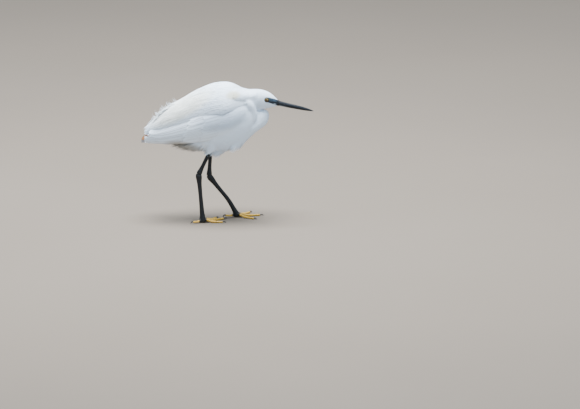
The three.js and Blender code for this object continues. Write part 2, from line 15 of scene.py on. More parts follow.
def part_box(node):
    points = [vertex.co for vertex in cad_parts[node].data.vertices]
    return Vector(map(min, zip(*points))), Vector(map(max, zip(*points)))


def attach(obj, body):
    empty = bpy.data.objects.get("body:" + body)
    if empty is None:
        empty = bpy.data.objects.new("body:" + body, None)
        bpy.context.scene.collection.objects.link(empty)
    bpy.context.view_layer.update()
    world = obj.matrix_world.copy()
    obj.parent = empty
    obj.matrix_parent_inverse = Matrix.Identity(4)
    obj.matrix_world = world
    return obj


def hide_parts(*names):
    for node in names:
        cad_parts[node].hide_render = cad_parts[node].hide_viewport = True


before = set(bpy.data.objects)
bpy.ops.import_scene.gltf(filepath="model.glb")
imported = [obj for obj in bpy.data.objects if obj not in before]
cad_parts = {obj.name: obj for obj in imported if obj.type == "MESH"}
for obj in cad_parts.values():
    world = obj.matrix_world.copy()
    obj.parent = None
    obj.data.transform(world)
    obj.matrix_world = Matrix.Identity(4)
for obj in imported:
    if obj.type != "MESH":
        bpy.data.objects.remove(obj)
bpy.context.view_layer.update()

# Named sizes, the same as the solids'

EYE = np.array([92.5, 12.0, 288.6])
EYE_RADIUS = 5.2
BILL_ROOT = np.array([112.0, 0.0, 278.9])
BILL_LENGTH = 90.0
BILL_DROOP = math.radians(13)
TAIL_END = -197.0

low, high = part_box("eye_right")
SHIFT = np.array((low + high) / 2) * 1000 - EYE * (1, -1, 1)


def placed(points):
    """Points of the bird's own frame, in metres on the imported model."""
    return (np.asarray(points, float) + SHIFT) * 0.001


def through(*knots):
    """A smooth value along one axis, through (place, value) knots, level beyond the outer two."""
    place, value = np.array(sorted(knots), float).T
    count = len(place)
    before = np.maximum(np.arange(count) - 1, 0)
    after = np.minimum(np.arange(count) + 1, count - 1)
    slope = (value[after] - value[before]) / (place[after] - place[before])

    def at(x):
        x = np.clip(np.asarray(x, float), place[0], place[-1])
        i = np.clip(np.searchsorted(place, x, side="right") - 1, 0, count - 2)
        span = place[i + 1] - place[i]
        t = (x - place[i]) / span
        rise = (value[i + 1] - value[i]) * t * t * (3 - 2 * t)
        return (
            value[i] + rise + t * (1 - t) ** 2 * slope[i] * span + t * t * (t - 1) * slope[i + 1] * span
        )

    return at


def stacked(*parts):
    return np.stack(np.broadcast_arrays(*parts), axis=-1)


def unit(vectors):
    return vectors / np.maximum(np.linalg.norm(vectors, axis=-1, keepdims=True), 1e-9)


# Torso
torso_top = through(
    (-126, 226), (-108, 246), (-80, 272), (-45, 298), (-10, 312), (20, 310), (45, 292), (60, 272), (68, 254)
)
torso_bottom = through(
    (-126, 212), (-105, 198), (-80, 184), (-45, 168), (-10, 164), (20, 173), (42, 187), (58, 205), (68, 230)
)
torso_half = through(
    (-126, 5), (-108, 17), (-80, 29), (-45, 39), (-5, 44), (22, 43), (45, 35), (60, 25), (68, 12)
)

# Flank, under a shut wing
flank_level = through(
    (55, 256), (30, 250), (0, 243), (-40, 236), (-80, 226), (-120, 215), (-160, 206), (-195, 200)
)
flank_height = through(
    (55, 34), (30, 48), (0, 57), (-40, 56), (-80, 48), (-120, 37), (-160, 25), (-195, 16)
)
flank_width = through(
    (55, 30), (30, 43), (0, 47.5), (-40, 45), (-80, 37.5), (-120, 28), (-160, 19), (-195, 13)
)
wing_upper = through((51, 48), (30, 50), (-20, 50), (-82, 38))
wing_lower = through((51, -14), (40, -26), (10, -34), (-30, -40), (-82, -40))


def on_flank(x, across, lift):
    """A place on the right flank: across is the angle above level, in degrees."""
    angle = np.radians(across)
    out = (flank_width(x) + lift) * np.cos(angle)
    return stacked(x, -out, flank_level(x) + (flank_height(x) + lift) * np.sin(angle))


# Mantle, the roof of plumes on the back
mantle_top = through(
    (52, 300), (36, 316), (21, 324), (5, 328.5), (-8, 328.5), (-27, 326), (-46, 320), (-76, 306),
    (-105, 288.5), (-134, 273), (-164, 247), (-178, 231), (-193, 219)
)  # fmt: skip
mantle_width = through(
    (52, 37), (35, 44), (0, 54), (-40, 52), (-80, 44), (-120, 34.5), (-160, 24), (-193, 13)
)
mantle_edge = through((52, 54), (30, 65), (0, 72), (-60, 74), (-130, 80), (-193, 88))
mantle_tuck = through(
    (52, 7), (40, 5), (20, 4), (0, 4), (-30, 5.5), (-60, 6.5), (-120, 5.5), (-160, 4), (-193, 2)
)


def on_mantle(x, across, lift):
    """A place on the back: across runs from -1 at its right edge, over the ridge, to 1."""
    angle = np.radians(across * mantle_edge(x))
    level = flank_level(x)
    lift = lift - mantle_tuck(x) * np.clip((np.abs(across) - 0.55) / 0.45, 0, 2) ** 1.6
    tall = mantle_top(x) - level + lift
    return stacked(x, (mantle_width(x) + lift) * np.sin(angle), level + tall * np.cos(angle))


# Tail
tail_top = through((-104, 216), (-150, 209), (TAIL_END, 203.5))
tail_spread = through((-104, 5), (-150, 8), (TAIL_END, 9.5))


def on_tail(x, across, lift):
    return stacked(x, across * tail_spread(x), tail_top(x) - np.abs(across) ** 1.3 * 12 + lift)


# Neck and head
crest_top = through(
    (20, 318), (36, 312.5), (50, 309.5), (65, 310.5), (80, 309.5), (90, 306.5), (98, 303), (106, 297),
    (112, 291), (118, 285), (122, 279)
)  # fmt: skip
crest_bottom = through(
    (20, 250), (36, 253), (50, 256), (66, 259.5), (80, 262), (90, 264.5), (98, 266), (106, 267.5),
    (112, 268.8), (118, 270.4), (122, 273)
)  # fmt: skip
crest_half = through(
    (20, 33), (36, 28.5), (50, 24), (66, 20), (80, 18.3), (90, 16.6), (98, 14.6), (106, 11.6), (112, 9),
    (118, 6.8), (122, 5)
)  # fmt: skip
bulge_fore = through((187, 43), (200, 57), (213, 72), (226, 90), (238, 97), (250, 98.5), (257, 97), (261, 92))
bulge_aft = through((187, -5), (213, 5), (238, 20), (250, 30), (261, 50))
bulge_half = through((187, 31), (213, 28), (238, 23), (250, 19.5), (261, 14))
face_top = through((91, 294), (100, 292.3), (112, 288), (118, 284.6), (123, 281.5))
face_bottom = through((91, 283.8), (100, 280.6), (112, 275.2), (118, 272.2), (123, 272))
bill_rise = through((0, 6.4), (0.15, 5.7), (0.3, 5.1), (0.6, 4.9), (0.75, 4.2), (0.9, 2.4), (1, 0.6))
bill_fall = through((0, 6), (0.15, 5.8), (0.3, 5.5), (0.5, 4.9), (0.75, 3.7), (0.9, 2.3), (1, 0.5))
bill_half = through((0, 5.8), (0.2, 4.9), (0.45, 3.9), (0.7, 2.9), (0.9, 1.7), (1, 0.5))

# Legs: the right one is behind and the left one ahead
LEGS = {
    "right": {
        "side": -1,
        "turn": 30,
        "spread": {"inner": 18, "middle": 0, "outer": -34, "hind": 180},
        "hip": (-30, -19, 192),
        "knee": (-34, -20, 176),
        "thigh_end": (-41, -19, 162),
        "ankle": (-64, -20, 113.5),
        "bow": [],
        "heel": (-55, -23, 8),
    },
    "left": {
        "side": 1,
        "turn": 10,
        "spread": {"inner": 38, "middle": 0, "outer": -38, "hind": 180},
        "hip": (-30, 19, 192),
        "knee": (-33, 20, 174),
        "thigh_end": (-39, 19, 158),
        "ankle": (-40.5, 20, 99.6),
        "bow": [(-19.8, 22.1, 72), (3.5, 24.4, 41.5)],
        "heel": (22, 27, 8),
    },
}
TOES = {
    "inner": {"length": 47, "end": 2.2, "claw": 7, "thick": 2.8},
    "middle": {"length": 56, "end": 2.2, "claw": 8, "thick": 3.0},
    "outer": {"length": 47, "end": 2.2, "claw": 7, "thick": 2.8},
    "hind": {"length": 26, "end": 4.6, "claw": 6, "thick": 2.8},
}

# Camera and studio
PHOTO_WIDTH = 580  # pixels
PIXEL = 2.3  # millimetres at the bird
SENSOR = 36  # millimetres


def camera():
    """A long lens on the bird's right side, 15 degrees above level."""
    distance, elevation = 15000, math.radians(15)
    aim = np.array([145.6, 0, 36.9])
    back = np.array([0, -math.cos(elevation), math.sin(elevation)])
    data = bpy.data.cameras.new("camera")
    data.sensor_width = SENSOR
    data.lens = SENSOR * distance / (PHOTO_WIDTH * PIXEL)
    data.clip_end = 100
    eye = bpy.data.objects.new("camera", data)
    eye.location = placed(aim + back * distance)
    eye.rotation_euler = Vector(-back).to_track_quat("-Z", "Y").to_euler()
    bpy.context.scene.collection.objects.link(eye)
    bpy.context.scene.camera = eye


def lamp(name, place, size, power, colour):
    """A round soft lamp, aimed at the bird."""
    data = bpy.data.lights.new(name, "AREA")
    data.shape = "DISK"
    data.size = size
    data.energy = power
    data.color = colour
    source = bpy.data.objects.new(name, data)
    source.location = place
    source.rotation_euler = (Vector((0, 0, 0.2)) - Vector(place)).to_track_quat("-Z", "Y").to_euler()
    bpy.context.scene.collection.objects.link(source)


# Materials


class Socket:
    """A value in a material. Arithmetic on it adds Math nodes."""

    def __init__(self, shader, link):
        self.shader = shader
        self.link = link

    def math(self, operation, *others):
        return self.shader.node("ShaderNodeMath", {"operation": operation}, self, *others)

    def __add__(self, other):
        return self.math("ADD", other)

    __radd__ = __add__

    def __sub__(self, other):
        return self.math("SUBTRACT", other)

    def __rsub__(self, other):
        return self.shader.node("ShaderNodeMath", {"operation": "SUBTRACT"}, other, self)

    def __mul__(self, other):
        return self.math("MULTIPLY", other)

    __rmul__ = __mul__

    def __truediv__(self, other):
        return self.math("DIVIDE", other)

    def __abs__(self):
        return self.math("ABSOLUTE")

    def __pow__(self, power):
        return self.math("POWER", power)

    def sine(self):
        return self.math("SINE")

    def larger(self, other):
        return self.math("MAXIMUM", other)

    def ease(self, start, end, least=0.0, most=1.0):
        """Goes smoothly from least to most as the value goes from start to end."""
        return self.shader.node(
            "ShaderNodeMapRange", {"interpolation_type": "SMOOTHSTEP"}, self, start, end, least, most
        )


class Shader:
    """A new material on one Principled shader."""

    def __init__(self, name, **fixed):
        self.material = bpy.data.materials.new(name)
        self.material.use_nodes = True
        self.tree = self.material.node_tree
        self.principled = self.tree.nodes["Principled BSDF"]
        for socket, value in fixed.items():
            self.set(socket.replace("_", " ").title().replace("Ior", "IOR"), value)

    def give(self, target, value):
        """Links an input to a value in the material, or sets it to a plain one."""
        if isinstance(value, Socket):
            self.tree.links.new(value.link, target)
        else:
            target.default_value = value

    def set(self, socket, value):
        self.give(self.principled.inputs[socket], value)

    def node(self, kind, settings, *values, out=0, **named):
        made = self.tree.nodes.new(kind)
        for key, value in settings.items():
            setattr(made, key, value)
        for key, value in [*enumerate(values), *named.items()]:
            if value is not None:
                self.give(made.inputs[key], value)
        return Socket(self, made.outputs[out])

    def attribute(self, name):
        return self.node("ShaderNodeAttribute", {"attribute_name": name}, out="Fac")

    def place(self):
        """Object coordinates in the bird's own millimetres."""
        metres = self.node("ShaderNodeTexCoord", {}, out="Object")
        return self.node("ShaderNodeMapping", {}, metres, tuple(-SHIFT), None, (1000, 1000, 1000))

    def axes(self, place):
        split = self.tree.nodes.new("ShaderNodeSeparateXYZ")
        self.tree.links.new(place.link, split.inputs[0])
        return [Socket(self, out) for out in split.outputs]

    def noise(self, place, scale, detail=3.0, roughness=0.5, stretch=None):
        if stretch is not None:
            place = self.node("ShaderNodeVectorMath", {"operation": "MULTIPLY"}, place, stretch)
        return self.node(
            "ShaderNodeTexNoise",
            {"noise_dimensions": "3D"},
            Vector=place,
            Scale=scale,
            Detail=detail,
            Roughness=roughness,
        )

    def blend(self, share, low, high):
        """A colour between two, by share."""
        mix = self.tree.nodes.new("ShaderNodeMix")
        mix.data_type = "RGBA"
        for key, value in ((0, share), (6, low), (7, high)):
            self.give(mix.inputs[key], (*value, 1) if isinstance(value, tuple) else value)
        return Socket(self, mix.outputs[2])

    def bump(self, height, depth):
        """Relief on the surface: height from 0 to 1 stands for depth millimetres."""
        relief = self.node("ShaderNodeBump", {}, Height=height, Distance=depth * 0.001, Strength=1.0)
        self.set("Normal", relief)


def paint(red, green, blue):
    """A linear colour from its 0 to 255 values."""
    return tuple(
        value / 12.92 if value <= 0.04045 else ((value + 0.055) / 1.055) ** 2.4
        for value in (red / 255, green / 255, blue / 255)
    )


def patch(axes, centre, radii, slope=0.0):
    """From 1 at the middle of an egg-shaped patch to 0 at its rim. Slope tips it nose up, in degrees."""
    x, y, z = axes
    turn = math.radians(slope)
    along = (x - centre[0]) * math.cos(turn) + (z - centre[2]) * math.sin(turn)
    up = (z - centre[2]) * math.cos(turn) - (x - centre[0]) * math.sin(turn)
    reach = (along / radii[0]) ** 2 + (up / radii[2]) ** 2
    if radii[1]:
        reach = reach + ((abs(y) - centre[1]) / radii[1]) ** 2
    return reach.ease(1.0, 0.1)


WHITE = paint(230, 240, 252)


def markings(shader, axes, warm=0.0):
    """White, with a cream wash on the back, painted blue-grey shade on the coverts, painted shade with a
    brown-grey mud stain on the belly under the wing, and a stained tail end.
    """
    x, y, z = axes
    # Painted shade: blue-grey over the coverts on the wing's side.
    covert_shade = patch(axes, (-8, 44, 250), (80, 60, 32), 14)
    colour = shader.blend(covert_shade * 0.9, WHITE, paint(184, 196, 211))
    back = patch(axes, (-105, 0, 268), (105, 0, 26), 30)
    colour = shader.blend(back * (0.6 + warm), colour, paint(236, 233, 220))
    shoulder = patch(axes, (15, 26, 303), (22, 30, 12), 4)
    colour = shader.blend(shoulder * 0.9, colour, paint(212, 209, 188))
    # Painted shade under the wing, mixed with a brown-grey mud stain, on the belly and vent.
    belly = patch(axes, (-96, 0, 176), (56, 0, 21), -12)
    colour = shader.blend(belly * 0.85, colour, paint(158, 147, 130))
    tip = x.ease(-186, -189) * z.ease(207, 204) * abs(y).ease(12, 10)
    line = patch(axes, (-184, 0, 203), (10, 0, 2.5), 14)
    colour = shader.blend(tip.larger(line), colour, paint(132, 78, 6))
    return shader.blend(tip * z.ease(194, 191.5), colour, paint(44, 26, 12))


def plumage(name, warm=0.0, relief=0.06, barbs=14.0, slant=1.4, edge=0.0):
    """Soft, matt feathers, with barbs as fine slanting lines on each vane. Edge is how strongly painted shade
    darkens the side rims of each vane.
    """
    shader = Shader(name, roughness=0.72, sheen_weight=0.25, sheen_roughness=0.5)
    shader.set("Specular IOR Level", 0.25)
    place = shader.place()
    along, side, tone = (shader.attribute(name) for name in ("along", "side", "tone"))
    colour = markings(shader, shader.axes(place), warm)
    # Painted shade: each feather greyer towards its root, where the feathers over it lie; tone adds a little
    # random grey to each feather.
    shade = along.ease(0.7, 0.0) * 0.18 + tone.ease(0.0, 1.0, 0.0, 0.06)
    colour = shader.blend(shade, colour, paint(188, 194, 202))
    # Painted shade: grey-brown along the side rims of each vane, standing in for the shadows at the feathers'
    # edges.
    if edge:
        colour = shader.blend(abs(side).ease(0.8, 0.98) * edge, colour, paint(116, 104, 92))
    cloud = shader.noise(place, 0.03, 2.0)
    shader.set("Base Color", shader.blend(cloud.ease(0.4, 0.75) * 0.10, colour, paint(205, 212, 222)))
    shader.set("Roughness", 0.66 + cloud * 0.14)
    lines = ((along * barbs - abs(side) * slant) * (2 * math.pi)).sine() * 0.5 + 0.5
    shaft = abs(side).ease(0.16, 0.02)
    shader.bump(lines * 0.6 + shaft * 0.8, relief)
    return shader.material


def bare_skin():
    """Lore and lids: blue-grey skin, darker along the line from gape to eye."""
    shader = Shader("lore skin", roughness=0.6, coat_weight=0.05, coat_roughness=0.5)
    shader.set("Specular IOR Level", 0.3)
    place = shader.place()
    x, _, z = axes = shader.axes(place)
    grain = shader.noise(place, 0.9, 4.0)
    line = abs(z - 281.4 - (112 - x) * 0.16).ease(2.2, 0.6) * x.ease(89, 96)
    colour = shader.blend(grain.ease(0.4, 0.62), paint(14, 20, 28), paint(64, 84, 102))
    colour = shader.blend(line * 0.9, colour, paint(6, 7, 10))
    # Painted highlight: a pale spot on the dark skin at the gape.
    gape = patch(axes, (110.5, 0, 277.4), (3.4, 0, 1.7), -20)
    colour = shader.blend(gape * 0.7, colour, paint(196, 204, 208))
    colour = shader.blend(x.ease(112, 118), colour, paint(8, 11, 16))
    lid = patch(axes, (92.5, 15.5, 288.6), (6.6, 8, 6.6))
    colour = shader.blend(lid.ease(0.1, 0.6) * 0.85, colour, paint(30, 30, 30))
    shader.set("Base Color", colour)
    shader.set("Roughness", 0.42 + grain * 0.2)
    shader.bump(shader.noise(place, 2.2, 3.0), 0.25)
    return shader.material


def bill_horn():
    """Black horn with a blue sheen, paler under its root, with fine streaks along it."""
    shader = Shader("bill horn", roughness=0.3, coat_weight=0.1, coat_roughness=0.2)
    place = shader.place()
    x, _, z = shader.axes(place)
    streaks = shader.noise(place, 0.5, 5.0, 0.6, stretch=(0.12, 2.0, 2.0))
    mouth = z - 279.2 + (x - 112) * math.tan(BILL_DROOP)
    pale = mouth.ease(-1.2, -3.6) * x.ease(148, 118)
    shader.set("Specular IOR Level", 0.3)
    colour = shader.blend(streaks, paint(6, 8, 11), paint(16, 22, 32))
    colour = shader.blend(pale * 0.75, colour, paint(98, 112, 124))
    shader.set("Base Color", shader.blend(x.ease(196, 208) * 0.5, colour, paint(46, 42, 40)))
    shader.set("Roughness", 0.24 + streaks * 0.22)
    shader.bump(streaks, 0.2)
    return shader.material


def leg_skin():
    """Black leg, with a net of small scales that catch a little blue light."""
    shader = Shader("leg skin", roughness=0.45, coat_weight=0.1, coat_roughness=0.4)
    place = shader.place()
    z = shader.axes(place)[2]
    cells = shader.node(
        "ShaderNodeTexVoronoi", {"feature": "DISTANCE_TO_EDGE"}, Vector=place, Scale=0.5, Randomness=0.7
    )
    wear = shader.noise(place, 0.2, 4.0)
    scale = cells.ease(0.02, 0.16)
    shader.set("Specular IOR Level", 0.25)
    colour = shader.blend(wear, paint(5, 6, 8), paint(14, 17, 23))
    colour = shader.blend(scale.ease(1.0, 0.0) * 0.35, colour, paint(44, 46, 46))
    shader.set("Base Color", shader.blend(z.ease(5, 1) * 0.4, colour, paint(96, 80, 36)))
    shader.set("Roughness", 0.34 + wear * 0.25)
    shader.bump(scale, 0.2)
    return shader.material


def toe_skin():
    """Yellow toe with broad scutes across it, darker in their seams and at the joints."""
    shader = Shader("toe skin", roughness=0.5, coat_weight=0.08, coat_roughness=0.4)
    place = shader.place()
    along = shader.attribute("along")
    bands = abs((along * 52.0).sine()).ease(0.05, 0.45)
    wear = shader.noise(place, 0.35, 4.0)
    z = shader.axes(place)[2]
    colour = shader.blend(wear, paint(222, 178, 62), paint(196, 142, 38))
    colour = shader.blend((1 - bands) * 0.55, colour, paint(120, 84, 26))
    colour = shader.blend(z.ease(1.6, 0.2) * 0.5, colour, paint(150, 128, 72))
    colour = shader.blend(wear.ease(0.58, 0.74) * 0.5, colour, paint(92, 74, 44))
    root = (along + (wear - 0.5) * 0.08).ease(0.21, 0.14)
    shader.set("Base Color", shader.blend(root, colour, paint(14, 15, 18)))
    shader.set("Roughness", 0.42 + wear * 0.2)
    shader.bump(bands * 0.8 + wear * 0.2, 0.4)
    return shader.material


def claw_horn():
    """Dark horn with fine streaks."""
    shader = Shader("claw horn", roughness=0.35, coat_weight=0.2, coat_roughness=0.25)
    place = shader.place()
    streaks = shader.noise(place, 0.8, 4.0)
    shader.set("Base Color", shader.blend(streaks, paint(24, 20, 18), paint(66, 54, 42)))
    shader.set("Roughness", 0.28 + streaks * 0.2)
    shader.bump(streaks, 0.15)
    return shader.material


def eyeball():
    """Yellow iris, streaked and dark-rimmed, round a black pupil, under a clear wet coat."""
    shader = Shader("eye", roughness=0.08, coat_weight=1.0, coat_roughness=0.02)
    place = shader.place()
    x, _, z = shader.axes(place)
    reach = ((x - EYE[0]) ** 2 + (z - EYE[2]) ** 2) ** 0.5
    rays = shader.noise(place, 1.6, 4.0)
    iris = shader.blend(rays, paint(172, 140, 36), paint(112, 82, 22))
    iris = shader.blend(reach.ease(3.2, 4.3), iris, paint(46, 30, 10))
    shader.set("Base Color", shader.blend(reach.ease(2.6, 2.3), iris, (0.002, 0.002, 0.002)))
    return shader.material


def floor_finish():
    """Pale, matt floor, faintly clouded."""
    shader = Shader("floor", roughness=0.9)
    shader.set("Specular IOR Level", 0.1)
    metres = shader.node("ShaderNodeTexCoord", {}, out="Object")
    cloud = shader.noise(metres, 1.5, 3.0)
    shader.set("Base Color", shader.blend(cloud, paint(112, 102, 92), paint(118, 108, 98)))
    return shader.material


# Shared modelling


def deselect():
    if bpy.context.object is not None and bpy.context.object.mode != "OBJECT":
        bpy.ops.object.mode_set(mode="OBJECT")
    bpy.ops.object.select_all(action="DESELECT")


def activate(piece):
    deselect()
    piece.select_set(True)
    bpy.context.view_layer.objects.active = piece


def apply_modifier(piece, kind, **settings):
    activate(piece)
    modifier = piece.modifiers.new(kind.title(), kind)
    for key, value in settings.items():
        setattr(modifier, key, value)
    bpy.ops.object.modifier_apply(modifier=modifier.name)


def edit(piece):
    """Opens a piece in edit mode, all of it selected."""
    activate(piece)
    bpy.ops.object.mode_set(mode="EDIT")
    bpy.ops.mesh.select_all(action="SELECT")


def done():
    bpy.ops.object.mode_set(mode="OBJECT")


def apply_place():
    """Puts the active piece's place, turn and size into its mesh."""
    bpy.ops.object.transform_apply(location=True, rotation=True, scale=True)


def joined(pieces):
    """Makes one piece of several, in the first."""
    deselect()
    for piece in pieces:
        piece.select_set(True)
    bpy.context.view_layer.objects.active = pieces[0]
    bpy.ops.object.join()
    return pieces[0]


def values_of(items, field, width=3, kind=np.float32):
    """One field of all of a mesh's items, a row for each."""
    values = np.empty(len(items) * width, kind)
    items.foreach_get(field, values)
    return values.reshape(-1, width)


def dress(piece, finish, replaced=()):
    """Gives a piece its finish, and puts it on the body in place of its solids."""
    piece.data.materials.clear()
    piece.data.materials.append(finish)
    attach(piece, "root")
    if replaced:
        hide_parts(*replaced)
    return piece


def from_arrays(name, points, faces, sizes=None):
    """A mesh from points in the bird's frame, and faces of four corners each or of the given sizes."""
    faces = np.asarray(faces)
    if sizes is None:
        sizes = np.full(len(faces), faces.shape[1])
    corners = faces.ravel()
    mesh = bpy.data.meshes.new(name)
    mesh.vertices.add(len(points))
    mesh.vertices.foreach_set("co", placed(points).astype(np.float32).ravel())
    mesh.loops.add(len(corners))
    mesh.loops.foreach_set("vertex_index", corners.astype(np.int32))
    mesh.polygons.add(len(sizes))
    starts = np.concatenate([[0], np.cumsum(sizes)[:-1]])
    mesh.polygons.foreach_set("loop_start", starts.astype(np.int32))
    mesh.polygons.foreach_set("use_smooth", np.ones(len(sizes), bool))
    mesh.update(calc_edges=True)
    piece = bpy.data.objects.new(name, mesh)
    bpy.context.scene.collection.objects.link(piece)
    return piece


def closed_rings(rings):
    """Points and faces of a closed form through rings alike in number, each end filled from its middle."""
    count, sides = rings.shape[:2]
    points = np.concatenate([rings.reshape(-1, 3), rings[[0, -1]].mean(axis=1)])
    ring, corner = np.meshgrid(np.arange(count - 1), np.arange(sides), indexing="ij")
    after = (corner + 1) % sides
    walls = np.stack(
        [
            ring * sides + corner,
            ring * sides + after,
            (ring + 1) * sides + after,
            (ring + 1) * sides + corner,
        ],
        axis=-1,
    ).reshape(-1, 4)
    j = np.arange(sides)
    k = (j + 1) % sides
    start = np.stack([k, j, np.full(sides, count * sides)], axis=-1)
    last = (count - 1) * sides
    end = np.stack([last + j, last + k, np.full(sides, count * sides + 1)], axis=-1)
    faces = np.concatenate([walls[:, [0, 1, 2]], walls[:, [0, 2, 3]], start, end])
    return points, faces


def oval_rings(x, top, bottom, half, square=2.2):
    """Upright sections across X."""
    angle = np.linspace(0, 2 * np.pi, 48, endpoint=False)
    bulge = lambda value: np.sign(value) * np.abs(value) ** (2 / square)
    x = np.asarray(x, float)[:, None]
    return stacked(
        x,
        half[:, None] * bulge(np.cos(angle)),
        (top + bottom)[:, None] / 2 + (top - bottom)[:, None] / 2 * bulge(np.sin(angle)),
    )


def sheet_rings(on, x, upper, lower, inner, outer, across):
    """A sheet on a surface, as rings across it."""
    share = np.linspace(0, 1, across)
    a = upper[:, None] + (lower - upper)[:, None] * share
    x = np.asarray(x, float)[:, None]
    return np.concatenate([on(x, a, outer[:, None]), on(x, a, inner[:, None])[:, ::-1]], axis=1)


def flesh_of_leg(leg, shrink):
    """The thigh as level sections, narrower by shrink."""
    path = np.array([leg["hip"], leg["knee"], leg["thigh_end"]], float)
    radii = np.array([17, 12.5, 6]) - shrink
    t = np.linspace(0, 1.7, 13)
    centre = np.stack([np.interp(t, [0, 1, 2], path[:, k]) for k in range(3)], axis=-1)
    reach = np.interp(t, [0, 1, 2], radii)[:, None]
    angle = np.linspace(0, 2 * np.pi, 24, endpoint=False)
    return stacked(
        centre[:, 0, None] + reach * np.cos(angle),
        centre[:, 1, None] + 0.8 * reach * np.sin(angle),
        centre[:, 2, None],
    )


def roll(path, radii):
    """Round sections along a path of knots."""
    share = np.linspace(0, 1, len(path))
    t = np.linspace(0, 1, 24)
    centre = np.stack([through(*zip(share, path[:, k]))(t) for k in range(3)], axis=-1)
    ahead = unit(np.gradient(centre, axis=0))
    wide = unit(np.cross(ahead, (0, 1, 0)))
    tall = np.cross(wide, ahead)
    reach = through(*zip(share, radii))(t)[:, None, None]
    angle = np.linspace(0, 2 * np.pi, 20, endpoint=False)[:, None]
    return centre[:, None] + reach * (np.cos(angle) * wide[:, None] + np.sin(angle) * tall[:, None])


COAT = 1.6  # how deep the coat lies over the skin
SKIN_GRAIN = 0.0018  # metres: the skin is remeshed at this, and the bare face at the finer one
FACE_GRAIN = 0.00042


def skin():
    """One skin for the whole feathered body, about the coat's depth inside the solids."""
    forms = []
    x = -126 + 194 * (1 - np.cos(np.linspace(0.05, np.pi - 0.05, 40))) / 2
    half = np.maximum(torso_half(x) - COAT, 2)
    forms.append(oval_rings(x, torso_top(x) - COAT, torso_bottom(x) + COAT, half))
    x = np.linspace(14, 120, 56)
    thin = COAT * 0.7
    bottom = np.maximum(crest_bottom(x) + thin, np.interp(x, [14, 50, 58, 70], [286, 284, 268, 258]))
    forms.append(oval_rings(x, crest_top(x) - thin, bottom, crest_half(x) - thin))
    path = [(42, 17, 293), (52, 18.5, 281), (59, 16, 264), (59, 14.5, 244), (48, 13.5, 222)]
    for side in (-1, 1):
        forms.append(roll(np.array(path) * (1, side, 1), [6, 9, 10, 11, 9]))
    z = np.linspace(185, 260.5, 32)[:, None]
    angle = np.linspace(0, 2 * np.pi, 48, endpoint=False)
    middle, long = (bulge_fore(z) + bulge_aft(z)) / 2, (bulge_fore(z) - bulge_aft(z)) / 2 - COAT
    forms.append(stacked(middle + long * np.cos(angle), (bulge_half(z) - COAT) * np.sin(angle), z))
    x = np.linspace(50, -150, 60)
    reach = np.interp(x, [-150, -120, 10, 50], [-2.5, -0.5, -0.7, -4.0])
    sheet = sheet_rings(on_flank, x, wing_upper(x) - 1, wing_lower(x) + 2, np.full(60, -7.0), reach, 40)
    forms += [sheet, sheet * (1, -1, 1)]
    x = np.linspace(46, -178, 60)
    reach = np.interp(x, [-178, -150, 0, 20, 46], [-5.5, -4.0, -3.8, -4.2, -7])
    wide = np.full(60, 0.93)
    forms.append(sheet_rings(on_mantle, x, -wide, wide, np.full(60, -14.0), reach, 60))
    x = np.linspace(18, 70, 40)
    share = np.clip((x - 24) / 42, 0, 1)
    share = share * share * (3 - 2 * share)
    roof = (mantle_top(x) - 5.5) * (1 - share) + (crest_top(x) - 2) * share
    wide = (mantle_width(x) - 14) * (1 - share) + (crest_half(x) - 1.5) * share
    floor = np.interp(x, [18, 50, 70], [266, 286, 282])
    forms.append(oval_rings(x, roof, floor, wide, 2.1))
    for leg in LEGS.values():
        forms.append(flesh_of_leg(leg, COAT))
    made = []
    for i, rings in enumerate(forms):
        form = from_arrays(f"form_{i}", *closed_rings(rings))
        edit(form)
        bpy.ops.mesh.normals_make_consistent(inside=False)
        done()
        made.append(form)
    body = joined(made)
    body.name = "skin"
    apply_modifier(body, "REMESH", mode="VOXEL", voxel_size=SKIN_GRAIN, use_smooth_shade=True)
    apply_modifier(body, "SMOOTH", factor=0.5, iterations=4)
    return body


# The coat: many small vanes in joined meshes


def unwrap(points):
    """The skin unrolled round its length: a place from 0 to 1 each way for the root of each feather."""
    x, y, z = np.moveaxis(np.asarray(points, float), -1, 0)
    middle = np.interp(x, [-200, -110, 0, 60, 125], [200, 224, 240, 262, 280])
    u = np.arctan2(y, z - middle) / (2 * np.pi) + 0.5
    v = (x + 200) / 410
    return np.stack([u, v], axis=-1) * 0.98 + 0.01


